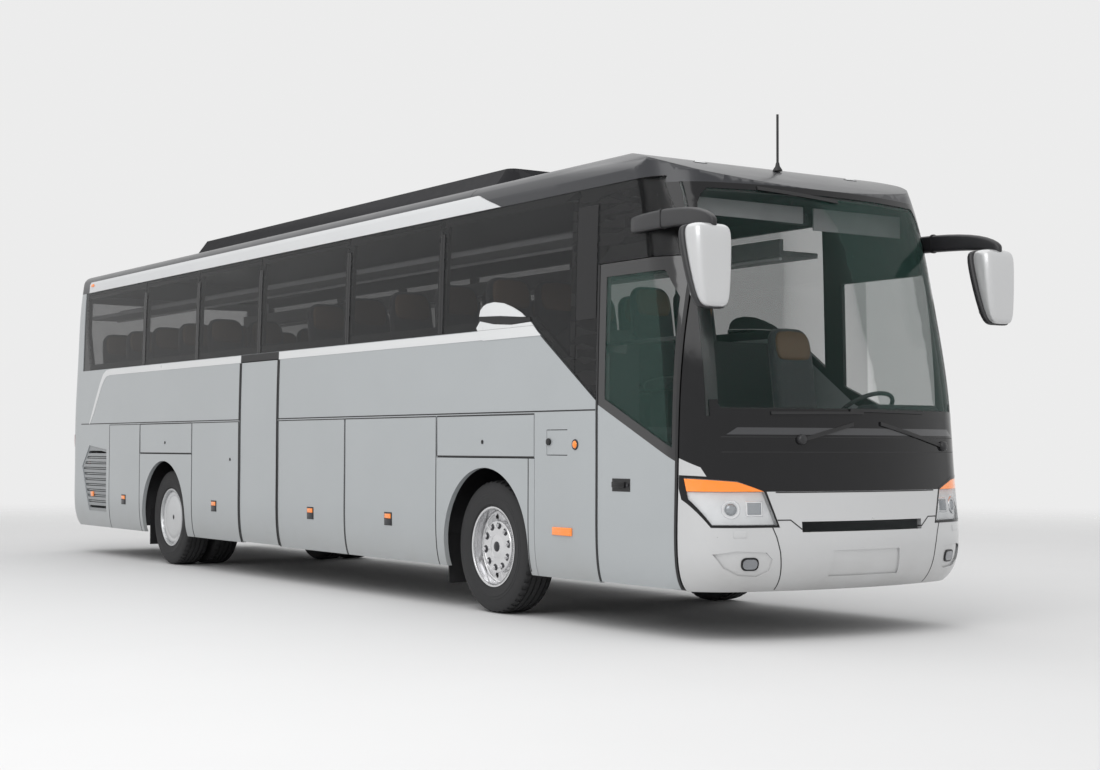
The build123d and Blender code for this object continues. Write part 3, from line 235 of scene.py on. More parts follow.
def door_paint(name, colour):
    """Body paint below the falling edge of the front door, black gloss round the glass above it."""
    finish = Finish(name, Coat_Weight=0.6, Coat_Roughness=0.05)
    door_low, door_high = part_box("front_door_leaf")
    run = door_high.x - door_low.x
    edge = (finish.axis("X") - door_low.x) * (-0.41 / run) + 1.60
    above = finish.axis("Z") > edge
    wave = finish.noise(1.3, 2.0)
    tone = finish.mix(wave, rgba(colour, 0.96), rgba(colour, 1.04))
    finish.feed("Base Color", finish.mix(above, tone, rgba((0.010, 0.010, 0.011))))
    finish.feed("Roughness", 0.30 - above * 0.16 + wave * 0.02)
    finish.bump(finish.noise(260.0, 1.0), 0.00003, 0.35)
    return finish.material


def make_finishes(colours):
    """Every material of the coach, by the record's slot or by its own plain name."""
    return {
        "body_paint": paint("body_paint", colours.body, 0.30),
        "silver_paint": paint("silver_paint", colours.silver, 0.28, 0.35, 0.6, 0.25),
        "roof_paint": paint("roof_paint", colours.roof, 0.30, 0.0, 0.15, 0.2),
        "silver_trim": paint("silver_trim", colours.trim, 0.30, 0.2),
        "white_paint": paint("white_paint", colours.white, 0.28),
        "black_gloss": moulded("black_gloss", (0.006, 0.006, 0.007), 0.10, 90.0, 0.00001,
                               Specular_IOR_Level=0.35),
        "grille_paint": paint("grille_paint", (0.23, 0.245, 0.255), 0.4),
        "black_frame": moulded("black_frame", (0.013, 0.013, 0.014), 0.30),
        "tinted_glass": pane("tinted_glass", colours.side_glass, colours.side_clear, 0.5,
                             colours.front_clear),
        "front_glass": pane("front_glass", colours.front_glass, colours.front_clear),
        "red_lens": lens("red_lens", (0.45, 0.010, 0.012), 0.1, 60.0),
        "amber_lens": lens("amber_lens", (0.95, 0.24, 0.01), 0.05, 70.0, 0.25),
        "lamp_glass": pane("lamp_glass", (0.75, 0.78, 0.80), 0.85, 0.6),
        "dark_grille": moulded("dark_grille", (0.10, 0.11, 0.12), 0.5),
        "floor_plastic": moulded("floor_plastic", (0.06, 0.06, 0.065), 0.65, 150.0, 0.0005),
        "dash_plastic": moulded("dash_plastic", (0.035, 0.036, 0.040), 0.6, 500.0, 0.0004),
        "rack_plastic": moulded("rack_plastic", (0.34, 0.34, 0.35), 0.6, 300.0, 0.0003),
        "seat_fabric": cloth("seat_fabric", (0.040, 0.042, 0.050), (0.09, 0.085, 0.085)),
        "head_leather": moulded("head_leather", (0.17, 0.105, 0.060), 0.55, 260.0, 0.0008),
        "chassis_steel": moulded("chassis_steel", (0.025, 0.025, 0.027), 0.5, 120.0, 0.0004),
        "engine_metal": moulded("engine_metal", (0.12, 0.12, 0.12), 0.6, 80.0, 0.001, Metallic=0.6),
        "black_rubber": moulded("black_rubber", (0.014, 0.014, 0.015), 0.55, 250.0, 0.0002),
        "tyre": rubber("tyre", (0.018, 0.018, 0.019)),
        "polished_rim": turned("polished_rim", (0.78, 0.78, 0.79), 0.16, 200.0),
        "steel_rim": turned("steel_rim", (0.62, 0.63, 0.64), 0.36, 120.0),
        "mirror_glass": moulded("mirror_glass", (0.80, 0.82, 0.83), 0.07, 20.0, 0.00001, Metallic=1.0),
        "door_paint": door_paint("door_paint", colours.body),
        "tail_lens": lens("tail_lens", (0.30, 0.008, 0.010), 0.05, 90.0, 0.1),
        "dark_metal": moulded("dark_metal", (0.05, 0.05, 0.055), 0.3, 200.0, 0.0001, Metallic=0.7),
        "cover_paint": paint("cover_paint", (0.60, 0.61, 0.62), 0.35, 0.4, 0.3, 0.2),
        "black_satin": moulded("black_satin", (0.020, 0.020, 0.022), 0.38, 200.0, 0.00005),
        "lamp_white": moulded("lamp_white", (0.78, 0.79, 0.80), 0.25, 60.0, 0.00002, Coat_Weight=0.6),
        "lamp_eye": moulded("lamp_eye", (0.30, 0.32, 0.34), 0.08, 40.0, 0.00005, Metallic=0.7),
        "fog_glass": lens("fog_glass", (0.25, 0.26, 0.28), 0.1, 160.0),
        "grey_trim": paint("grey_trim", (0.035, 0.036, 0.040), 0.22, 0.0),
        "roof_unit": moulded("roof_unit", (0.012, 0.012, 0.014), 0.65, 200.0, 0.0001,
                             Specular_IOR_Level=0.15),
        "reflector": turned("reflector", (0.90, 0.90, 0.91), 0.10, 40.0),
    }


finishes = {}


def only(piece):
    """Leaves one piece selected and active."""
    bpy.ops.object.select_all(action="DESELECT")
    piece.select_set(True)
    bpy.context.view_layer.objects.active = piece


def settle(piece):
    """Puts a piece's place, turn and scale into its mesh."""
    only(piece)
    bpy.ops.object.transform_apply(location=True, rotation=True, scale=True)


def modify(piece, kind, **settings):
    """Adds one modifier with these settings and applies it."""
    only(piece)
    modifier = piece.modifiers.new(kind.lower(), kind)
    for key, value in settings.items():
        setattr(modifier, key, value)
    bpy.ops.object.modifier_apply(modifier=modifier.name)


def smooth(piece, degrees=32.0):
    """Shades round faces smooth and keeps edges over this angle sharp."""
    only(piece)
    bpy.ops.object.shade_smooth_by_angle(angle=math.radians(degrees))


def edit(piece, kind="FACE"):
    """Opens a piece for editing with all of it selected."""
    only(piece)
    bpy.ops.object.mode_set(mode="EDIT")
    bpy.ops.mesh.select_mode(type=kind)
    bpy.ops.mesh.select_all(action="SELECT")


def close():
    bpy.ops.object.mode_set(mode="OBJECT")


def pick(piece, test):
    """Selects the faces whose centre and normal pass a test, and opens the piece for editing."""
    only(piece)
    bpy.ops.object.mode_set(mode="EDIT")
    bpy.ops.mesh.select_mode(type="FACE")
    bpy.ops.mesh.select_all(action="DESELECT")
    bpy.ops.object.mode_set(mode="OBJECT")
    for face in piece.data.polygons:
        face.select = test(face.center, face.normal)
    bpy.ops.object.mode_set(mode="EDIT")


def outward(piece):
    """Turns the faces of a closed shape outwards."""
    edit(piece)
    bpy.ops.mesh.remove_doubles(threshold=0.00005)
    bpy.ops.mesh.normals_make_consistent(inside=False)
    close()


def copy_of(node, name):
    """A merged copy of a CAD node's mesh as a new piece."""
    piece = bpy.data.objects.new(name, frame["nodes"][node].data.copy())
    bpy.context.scene.collection.objects.link(piece)
    edit(piece)
    bpy.ops.mesh.remove_doubles(threshold=0.00005)
    bpy.ops.mesh.dissolve_degenerate(threshold=0.0001)
    close()
    return piece


def twin(piece, name, shift=(0, 0, 0), turn=None):
    """A copy with its own mesh, turned and then moved."""
    other = bpy.data.objects.new(name, piece.data.copy())
    bpy.context.scene.collection.objects.link(other)
    if turn:
        other.data.transform(turn)
    other.data.transform(Matrix.Translation(shift))
    return other


def mirrored(piece, name):
    """The same piece for the other side of the coach."""
    other = twin(piece, name, turn=Matrix.Diagonal((1, -1, 1, 1)))
    edit(other)
    bpy.ops.mesh.flip_normals()
    close()
    return other


def joined(pieces, name):
    """Several loose shapes made one piece."""
    bpy.ops.object.select_all(action="DESELECT")
    for piece in pieces:
        piece.select_set(True)
    bpy.context.view_layer.objects.active = pieces[0]
    if len(pieces) > 1:
        bpy.ops.object.join()
    pieces[0].name = name
    pieces[0].data.name = name
    return pieces[0]


def dress(piece, finish, body="root"):
    """Gives a piece its material and the body it rides on."""
    piece.data.materials.clear()
    piece.data.materials.append(finishes[finish])
    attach(piece, body)
    return piece


def cuboid(name, low, high, bevel=0.0, segments=3):
    """A block between two corners, with rounded edges."""
    bpy.ops.object.select_all(action="DESELECT")
    centre = [(a + b) / 2 for a, b in zip(low, high)]
    bpy.ops.mesh.primitive_cube_add(size=1.0, location=centre)
    piece = bpy.context.object
    piece.scale = [b - a for a, b in zip(low, high)]
    piece.name = name
    settle(piece)
    if bevel:
        modify(piece, "BEVEL", width=bevel, segments=segments, limit_method="ANGLE")
    smooth(piece, 40.0)
    return piece


def drum(name, centre, radius, depth, axis="Y", vertices=32, bevel=0.0, foot_share=1.0):
    """A round boss along one axis, with a rounded edge."""
    bpy.ops.object.select_all(action="DESELECT")
    bpy.ops.mesh.primitive_cone_add(vertices=vertices, radius1=radius * foot_share, radius2=radius,
                                    depth=depth)
    piece = bpy.context.object
    piece.name = name
    turns = {"X": (0, math.pi / 2, 0), "Y": (math.pi / 2, 0, 0), "Z": (0, 0, 0)}
    piece.rotation_euler = turns[axis]
    piece.location = centre
    settle(piece)
    if bevel:
        modify(piece, "BEVEL", width=bevel, segments=2, limit_method="ANGLE")
    smooth(piece, 35.0)
    return piece


def drawn(name, points):
    """A chain of edges through the points, pulled out of one vertex."""
    bpy.ops.object.select_all(action="DESELECT")
    bpy.ops.mesh.primitive_plane_add(size=1.0)
    piece = bpy.context.object
    piece.name = name
    edit(piece, "VERT")
    bpy.ops.mesh.merge(type="CENTER")
    bpy.ops.transform.translate(value=points[0])
    for start, end in zip(points, points[1:]):
        step = [b - a for a, b in zip(start, end)]
        bpy.ops.mesh.extrude_region_move(TRANSFORM_OT_translate={"value": step})
    close()
    return piece


def turned_body(name, outline, centre, steps=64):
    """A closed ring or cap: an outline of (radius, reach along the axle) spun round the axle."""
    x, y, z = centre
    piece = drawn(name, [(x + radius, y + reach, z) for radius, reach in outline])
    edit(piece, "VERT")
    bpy.ops.mesh.spin(steps=steps, angle=2 * math.pi, center=centre, axis=(0, 1, 0))
    close()
    outward(piece)
    return piece


def plate(name, outline, thickness, bevel=0.0):
    """A flat plate drawn in the side view as (x, z), facing the right side of the coach."""
    piece = drawn(name, [(x, 0.0, z) for x, z in outline])
    edit(piece, "VERT")
    bpy.ops.mesh.edge_face_add()
    close()
    modify(piece, "SOLIDIFY", thickness=thickness, offset=0.0)
    outward(piece)
    if bevel:
        modify(piece, "BEVEL", width=bevel, segments=2, limit_method="ANGLE")
    smooth(piece, 35.0)
    return piece


def meet(piece, start, way):
    """Where a line from outside the coach meets a panel, and the panel's outward normal there."""
    hit, place, normal, _ = piece.ray_cast(Vector(start), Vector(way))
    if not hit:
        raise RuntimeError(f"nothing of {piece.name} on the line from {start}")
    return place, normal


def skin_point(piece, x, z, side):
    return meet(piece, (x, side * 2 * half_width, z), (0, -side, 0))


def nose_point(piece, y, z):
    return meet(piece, (nose_x + 1.0, y, z), (-1, 0, 0))


def tail_point(piece, y, z):
    return meet(piece, (tail_x - 1.0, y, z), (1, 0, 0))


def stick(piece, place, normal, proud=0.0):
    """Lays a shape that was modelled at the origin, facing -Y, on a surface."""
    along = (-normal).cross(Vector((0, 0, 1))).normalized()
    up = along.cross(-normal)
    turn = Matrix((along, -normal, up)).transposed().to_4x4()
    piece.data.transform(Matrix.Translation(place + normal * proud) @ turn)
    return piece


def ribbon(points, width):
    """The closed outline of a narrow strip that follows the points."""
    left, right = [], []
    for number, point in enumerate(points):
        before = Vector(points[max(number - 1, 0)])
        after = Vector(points[min(number + 1, len(points) - 1)])
        along = (after - before).normalized()
        across = Vector((-along.y, along.x)) * width / 2
        left.append(tuple(Vector(point) + across))
        right.append(tuple(Vector(point) - across))
    return left + right[::-1]


def rounded(width, height, corner, steps=4):
    """Points round a rectangle with round corners, about its middle."""
    points = []
    for turn in range(4):
        side_u = (1, -1, -1, 1)[turn]
        side_v = (1, 1, -1, -1)[turn]
        for step in range(steps + 1):
            angle = math.pi / 2 * (turn + step / steps)
            points.append((side_u * (width / 2 - corner) + corner * math.cos(angle),
                           side_v * (height / 2 - corner) + corner * math.sin(angle)))
    return points


def prism(name, points, reach):
    """A closed shape: a flat outline pushed along a way."""
    piece = drawn(name, points)
    edit(piece, "VERT")
    bpy.ops.mesh.edge_face_add()
    bpy.ops.mesh.extrude_region_move(TRANSFORM_OT_translate={"value": reach})
    close()
    outward(piece)
    return piece


def seen_from(view, outline):
    """The outline's points in space and the way through the coach, seen from a side or the front."""
    if view == "front":
        return [(front_axle_x + 1.2, y, z) for y, z in outline], (3.0, 0, 0)
    if view == "rear":
        return [(rear_axle_x - 1.9, y, z) for y, z in outline], (-3.0, 0, 0)
    side = dict(SIDES)[view]
    return [(x, side * half_width / 2, z) for x, z in outline], (0, side * half_width, 0)


def patch(name, panel, outline, view, proud=0.002):
    """The part of a panel inside an outline, lifted off it by a little: paint, tape, trim or a cover."""
    points, reach = seen_from(view, outline)
    cutter = prism(name + "_cutter", points, reach)
    piece = twin(panel, name)
    modify(piece, "BOOLEAN", operation="INTERSECT", object=cutter, solver="EXACT")
    discard(cutter)
    piece.data.transform(Matrix.Translation(Vector(reach).normalized() * proud))
    smooth(piece)
    return piece


def sink(panel, outline, view, thickness, depth):
    """Cuts a shallow recess that follows a panel's skin."""
    cutter = patch("recess_cutter", panel, outline, view, thickness - depth)
    modify(panel, "BOOLEAN", operation="DIFFERENCE", object=cutter, solver="EXACT")
    discard(cutter)
    smooth(panel)


def lofted(name, section, axis, stations):
    """A closed bar through stations (centre, share of width, share of height), square to one axis."""
    places = {"X": lambda u, v: Vector((0, u, v)), "Z": lambda u, v: Vector((u, v, 0)),
              "Y": lambda u, v: Vector((u, 0, v))}
    scales = {"X": lambda a, b: (1, a, b), "Z": lambda a, b: (a, b, 1), "Y": lambda a, b: (a, 1, b)}
    centre, wide, high = stations[0]
    piece = drawn(name, [Vector(centre) + places[axis](u * wide, v * high) for u, v in section])
    edit(piece, "VERT")
    bpy.ops.mesh.edge_face_add()
    for next_centre, next_wide, next_high in stations[1:]:
        step = Vector(next_centre) - Vector(centre)
        bpy.ops.mesh.extrude_region_move(TRANSFORM_OT_translate={"value": step})
        bpy.ops.transform.resize(value=scales[axis](next_wide / wide, next_high / high),
                                 center_override=next_centre)
        centre, wide, high = next_centre, next_wide, next_high
    close()
    outward(piece)
    smooth(piece, 50.0)
    return piece


def discard(*pieces):
    """Removes patterns that were only copied from."""
    for piece in pieces:
        bpy.data.objects.remove(piece)


def bodies_of_nodes():
    """The body that each CAD node rides on."""
    bodies = frame["record"]["behaviour"]["bodies"]
    return {node: body for body, members in bodies.items() for node in members}


# Nodes whose solid is right: a merged, smoothly shaded copy takes their place
SHELLS = (
    "belt_panels", "lower_panels", "side_grilles", "window_frames", "side_glazing", "rear_wall",
    "rear_window", "tail_lamps", "engine_lid", "filler_flap", "roof_panel", "roof_front_cap", "roof_rails",
    "air_conditioner",
    "front_bumper", "front_mask", "windscreen_frame", "windscreen", "pillar_covers", "front_door_arm",
    "mid_door_arm", "front_door_leaf", "front_door_glass", "mid_door_leaf", "saloon_floor", "underframe",
    "cab_floor", "dashboard", "luggage_racks", "engine_block", "wipers", "aerial", "mud_flaps",
    "front_rim_right", "front_rim_left", "rear_rims_right", "rear_rims_left", "knuckle_right",
    "knuckle_left",
    "front_axle", "rear_axle", "luggage_flap_right_1", "luggage_flap_right_2", "luggage_flap_right_3",
    "luggage_flap_right_4", "luggage_flap_left_1", "luggage_flap_left_2", "luggage_flap_left_3",
    "arch_flap_right_front", "arch_flap_right_rear", "arch_flap_left_front", "arch_flap_left_rear",
    "front_beams", "headlamps",
)
shells = {}


class CoachSizes(bpy.types.PropertyGroup):
    """Sizes of the pieces that are modelled here."""
    strip_low: bpy.props.FloatProperty(
        name="Strip low", description="Lower edge of the white strip", default=2.125, unit="LENGTH")
    strip_height: bpy.props.FloatProperty(
        name="Strip height", description="Height of the white strip", default=0.07, unit="LENGTH")
    tread_depth: bpy.props.FloatProperty(
        name="Tread depth", description="Depth of the grooves in the tyres", default=0.012, unit="LENGTH")
    nut_ring: bpy.props.FloatProperty(
        name="Nut ring", description="Radius of the ring of wheel nuts", default=0.1675, unit="LENGTH")


class CoachColours(bpy.types.PropertyGroup):
    """Colours of the paint and the glass."""
    body: bpy.props.FloatVectorProperty(
        name="Body", description="Paint of the side panels", subtype="COLOR", default=(0.385, 0.408, 0.420))
    silver: bpy.props.FloatVectorProperty(
        name="Silver", description="Paint of the front bumper and the mirrors", subtype="COLOR",
        default=(0.56, 0.565, 0.57))
    roof: bpy.props.FloatVectorProperty(
        name="Roof", description="Paint of the roof", subtype="COLOR", default=(0.016, 0.017, 0.021))
    trim: bpy.props.FloatVectorProperty(
        name="Trim", description="Paint of the roof rails", subtype="COLOR", default=(0.68, 0.69, 0.70))
    white: bpy.props.FloatVectorProperty(
        name="White", description="Paint of the strip below the windows", subtype="COLOR",
        default=(0.70, 0.71, 0.715))
    side_glass: bpy.props.FloatVectorProperty(
        name="Side glass", description="Tint of the side windows", subtype="COLOR",
        default=(0.008, 0.009, 0.010))
    side_clear: bpy.props.FloatProperty(
        name="Side clearness", description="Share of light through one face of a side pane", default=0.74,
        subtype="FACTOR")
    front_glass: bpy.props.FloatVectorProperty(
        name="Front glass", description="Tint of the windscreen", subtype="COLOR",
        default=(0.030, 0.075, 0.062))
    front_clear: bpy.props.FloatProperty(
        name="Front clearness", description="Share of light through one face of the windscreen",
        default=0.92,
        subtype="FACTOR")


class StudioSettings(bpy.types.PropertyGroup):
    """Light, floor and camera."""
    white: bpy.props.FloatProperty(
        name="Backdrop", description="Brightness of the backdrop", default=0.84, subtype="FACTOR")
    fill: bpy.props.FloatProperty(
        name="Fill", description="Strength of the light from all round", default=0.80)
    camera_place: bpy.props.FloatVectorProperty(
        name="Camera", description="Place of the camera", subtype="TRANSLATION",
        default=(15.061, -8.461, 1.289))
    yaw: bpy.props.FloatProperty(
        name="Yaw", description="Turn of the view from the coach's nose", subtype="ANGLE",
        default=math.radians(146.135))
    pitch: bpy.props.FloatProperty(
        name="Pitch", description="Upward tilt of the view", subtype="ANGLE", default=math.radians(2.037))
    roll: bpy.props.FloatProperty(
        name="Roll", description="Roll of the view", subtype="ANGLE", default=math.radians(0.154))
    lens: bpy.props.FloatProperty(
        name="Lens", description="Focal length on a 36 mm sensor", unit="CAMERA", default=57.44)


class COACH_OT_studio(bpy.types.Operator):
    """Floor, backdrop light, lamps and camera"""
    bl_idname = "coach.studio"
    bl_label = "Studio"

    def execute(self, context):
        studio = context.scene.coach_studio
        scene = context.scene
        scene.view_settings.view_transform = "Standard"
        world = bpy.data.worlds.new("studio")
        scene.world = world
        world.use_nodes = True
        tree = world.node_tree
        background = tree.nodes["Background"]
        background.inputs["Color"].default_value = (1.0, 1.0, 1.0, 1.0)
        path = tree.nodes.new("ShaderNodeLightPath")
        seen = tree.nodes.new("ShaderNodeMath")
        seen.operation = "MAXIMUM"
        through = tree.nodes.new("ShaderNodeMath")
        through.operation = "MAXIMUM"
        level = tree.nodes.new("ShaderNodeMapRange")
        tree.links.new(path.outputs["Is Camera Ray"], seen.inputs[0])
        tree.links.new(path.outputs["Is Glossy Ray"], seen.inputs[1])
        tree.links.new(seen.outputs[0], through.inputs[0])
        tree.links.new(path.outputs["Is Transmission Ray"], through.inputs[1])
        tree.links.new(through.outputs[0], level.inputs["Value"])
        level.inputs["To Min"].default_value = studio.fill
        level.inputs["To Max"].default_value = studio.white
        tree.links.new(level.outputs["Result"], background.inputs["Strength"])

        for name, place, size, power in (
            ("key_light", (9.0, -9.0, 9.0), 9.0, 560.0),
            ("top_light", (0.0, 0.0, 11.0), 14.0, 420.0),
        ):
            bpy.ops.object.select_all(action="DESELECT")
            bpy.ops.object.light_add(type="AREA", location=place)
            lamp = context.object
            lamp.name = name
            lamp.data.size = size
            lamp.data.energy = power
            aim = Vector((0.0, 0.0, 1.0)) - Vector(place)
            lamp.rotation_euler = aim.to_track_quat("-Z", "Y").to_euler()

        bpy.ops.object.select_all(action="DESELECT")
        bpy.ops.mesh.primitive_circle_add(vertices=96, radius=60.0, fill_type="NGON")
        floor = context.object
        floor.name = "studio_floor"
        finish = Finish("studio_floor", Roughness=0.9, Specular_IOR_Level=0.1)
        spread = finish.node("ShaderNodeVectorMath", {"operation": "LENGTH"}, {0: finish.place}, "Value")
        fade = finish.node("ShaderNodeMapRange", {"interpolation_type": "SMOOTHSTEP"},
                           {0: spread, 1: 9.0, 2: 26.0, 3: 1.0, 4: 0.0})
        dust = finish.noise(0.7, 3.0)
        finish.feed("Base Color", finish.mix(dust, rgba((0.73, 0.73, 0.732)), rgba((0.75, 0.75, 0.752))))
        finish.feed("Alpha", fade)
        floor.data.materials.append(finish.material)

        bpy.ops.object.select_all(action="DESELECT")
        bpy.ops.object.camera_add(location=studio.camera_place)
        camera = context.object
        camera.name = "photo_camera"
        ahead = Vector((math.cos(studio.yaw) * math.cos(studio.pitch),
                        math.sin(studio.yaw) * math.cos(studio.pitch), math.sin(studio.pitch)))
        right = ahead.cross(Vector((0, 0, 1))).normalized()
        up = right.cross(ahead)
        rolled = right * math.cos(studio.roll) + up * math.sin(studio.roll)
        upright = up * math.cos(studio.roll) - right * math.sin(studio.roll)
        turn = Matrix((rolled, upright, -ahead)).transposed().to_4x4()
        camera.matrix_world = Matrix.Translation(studio.camera_place) @ turn
        camera.data.lens = studio.lens
        camera.data.sensor_width = 36.0
        camera.data.sensor_fit = "HORIZONTAL"
        camera.data.clip_end = 200.0
        scene.camera = camera
        return {"FINISHED"}


class COACH_OT_panels(bpy.types.Operator):
    """Smooth copies of the body's panels, glass, floors and running gear"""
    bl_idname = "coach.panels"
    bl_label = "Panels and glass"

    def execute(self, context):
        bodies = bodies_of_nodes()
        own_finishes = {"front_door_leaf": "door_paint", "tail_lamps": "tail_lens",
                        "side_grilles": "grille_paint", "air_conditioner": "roof_unit"}
        for node in SHELLS:
            slot = frame["nodes"][node].data.materials[0].name.split(".")[0]
            piece = copy_of(node, node + "_dressed")
            smooth(piece, 18.0 if "flap" in node or node == "lower_panels" else 32.0)
            modify(piece, "WEIGHTED_NORMAL", keep_sharp=True)
            dress(piece, own_finishes.get(node, slot), bodies[node])
            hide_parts(node)
            shells[node] = piece
        return {"FINISHED"}


class COACH_OT_tyres(bpy.types.Operator):
    """Tyres with grooved treads, shoulder blocks and ringed side walls"""
    bl_idname = "coach.tyres"
    bl_label = "Tyres"

    def execute(self, context):
        depth = context.scene.coach_sizes.tread_depth
        half = tyre_width / 2
        radius = tyre_radius
        bead = radius - 0.213
        side_wall = [(bead, half - 0.033), (bead + 0.010, half - 0.020), (bead + 0.024, half - 0.017),
                     (bead + 0.028, half - 0.010), (bead + 0.060, half - 0.003), (bead + 0.085, half),
                     (bead + 0.087, half - 0.002), (bead + 0.108, half - 0.001),
                     (bead + 0.110, half - 0.003),
                     (bead + 0.150, half - 0.005), (bead + 0.178, half - 0.010),
                     (bead + 0.198, half - 0.021),
                     (bead + 0.208, half - 0.034), (radius - 0.003, half - 0.045)]
        tread = []
        for groove in (0.072, 0.025):
            tread += [(radius - 0.001, groove + 0.007), (radius - depth, groove + 0.005),
                      (radius - depth, groove - 0.005), (radius, groove - 0.007)]
        outer = side_wall + tread
        outline = outer + [(reach_radius, -reach) for reach_radius, reach in reversed(outer)] + [outer[0]]
        pattern = turned_body("tyre_pattern", outline, (0.0, 0.0, 0.0), 96)
        step = 2 * math.pi / 96
        pick(pattern, lambda centre, normal: (
            math.hypot(centre.x, centre.z) > radius - 0.013 and abs(normal.y) < 0.75
            and 0.080 < abs(centre.y) < half - 0.020
            and int(math.atan2(centre.z, centre.x) / step + 200) % 2 == 0))
        bpy.ops.mesh.extrude_region_shrink_fatten(TRANSFORM_OT_shrink_fatten={"value": -0.008})
        close()
        smooth(pattern, 28.0)
        bodies = bodies_of_nodes()
        for label, _ in SIDES:
            low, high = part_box(f"front_tyre_{label}")
            places = {f"front_tyre_{label}": [(low.y + high.y) / 2]}
            low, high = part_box(f"rear_tyres_{label}")
            places[f"rear_tyres_{label}"] = [low.y + half, high.y - half]
            for node, centres in places.items():
                centre_x = front_axle_x if node.startswith("front") else rear_axle_x
                rings = [twin(pattern, node, (centre_x, centre_y, radius)) for centre_y in centres]
                tyre = joined(rings, node + "_treaded")
                dress(tyre, "tyre", bodies[node])
                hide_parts(node)
        discard(pattern)
        return {"FINISHED"}


class COACH_OT_wheel_fittings(bpy.types.Operator):
    """Wheel nuts in their dished seats, hub caps, rim lips and the rear wheels' covers"""
    bl_idname = "coach.wheel_fittings"
    bl_label = "Wheel fittings"

    def execute(self, context):
        ring = context.scene.coach_sizes.nut_ring
        for label, side in SIDES:
            rim = shells[f"front_rim_{label}"]
            body = f"wheel_front_{label}"
            outside = Vector((0, side, 0))

            def face_at(radius, turn):
                start = Vector((front_axle_x + radius * math.cos(turn), side * 2,
                                tyre_radius + radius * math.sin(turn)))
                return rim.ray_cast(start, -outside)[1]

            seats, nuts = [], []
            for number in range(10):
                place = face_at(ring, math.radians(36 * number + 9))
                seats.append(turned_body("nut_seat", [(0.0, 0.001), (0.023, 0.001), (0.027, 0.004),
                                                      (0.030, 0.001),
                                                      (0.031, -0.002), (0.0, -0.002)], (0, 0, 0), 24))
                seats[-1].data.transform(Matrix.Translation(place) @ Matrix.Scale(side, 4, (0, 1, 0)))
                nuts.append(drum("wheel_nut", place + outside * 0.011, 0.0165, 0.022, vertices=6,
                                 bevel=0.002))
                nuts.append(drum("wheel_stud", place + outside * 0.024, 0.0095, 0.012, vertices=16,
                                 bevel=0.002))
            for seat in seats:
                outward(seat)
                smooth(seat)
            dress(joined(seats, f"nut_seats_{label}"), "dark_metal", body)
            dress(joined(nuts, f"wheel_nuts_{label}"), "polished_rim", body)
            centre = face_at(0.0, 0.0)
            boss = turned_body(f"hub_boss_{label}", [(0.0, 0.004), (0.078, 0.004), (0.090, 0.002),
                                                     (0.098, -0.002),
                                                     (0.0, -0.002)], (0, 0, 0), 48)
            boss.data.transform(Matrix.Translation(centre) @ Matrix.Scale(side, 4, (0, 1, 0)))
            outward(boss)
            smooth(boss)
            dress(boss, "polished_rim", body)
            cap = turned_body(f"hub_cap_{label}", [(0.0, 0.014), (0.030, 0.012), (0.040, 0.006),
                                                   (0.042, 0.0),
                                                   (0.0, 0.0)], (0, 0, 0), 40)
            cap.data.transform(Matrix.Translation(centre) @ Matrix.Scale(side, 4, (0, 1, 0)))
            outward(cap)
            smooth(cap, 50)
            dress(cap, "dark_metal", body)
            edge = face_at(0.16, 0.4)
            lip = turned_body(f"plateau_ring_{label}", [(0.186, -0.004), (0.186, 0.002), (0.192, 0.004),
                                                        (0.200, 0.001), (0.2035, -0.006), (0.2035, -0.012),
                                                        (0.186, -0.004)], (0, 0, 0), 64)
            lip.data.transform(Matrix.Translation((front_axle_x, edge.y, tyre_radius))
                               @ Matrix.Scale(side, 4, (0, 1, 0)))
            outward(lip)
            smooth(lip, 50)
            dress(lip, "polished_rim", body)

            cover = shells[f"rear_rims_{label}"]
            start = Vector((rear_axle_x + 0.1, side * 2, tyre_radius))
            flat = cover.ray_cast(start, -outside)[1]
            dish = turned_body(f"wheel_cover_{label}", [
                (0.026, 0.006), (0.030, 0.010), (0.180, 0.012), (0.222, 0.008), (0.232, 0.003),
                (0.240, 0.008),
                (0.262, 0.012), (0.280, 0.006), (0.286, 0.0), (0.026, 0.0), (0.026, 0.006)], (0, 0, 0), 72)
            dish.data.transform(Matrix.Translation((rear_axle_x, flat.y, tyre_radius))
                                @ Matrix.Scale(side, 4, (0, 1, 0)))
            outward(dish)
            smooth(dish, 40)
            dress(dish, "cover_paint", f"wheel_rear_{label}")
            plug = turned_body(f"cover_plug_{label}", [(0.0, 0.005), (0.020, 0.006), (0.026, 0.003),
                                                       (0.026, 0.0),
                                                       (0.0, 0.0)], (0, 0, 0), 32)
            plug.data.transform(Matrix.Translation((rear_axle_x, flat.y, tyre_radius))
                                @ Matrix.Scale(side, 4, (0, 1, 0)))
            outward(plug)
            smooth(plug, 40)
            dress(plug, "black_rubber", f"wheel_rear_{label}")
        return {"FINISHED"}


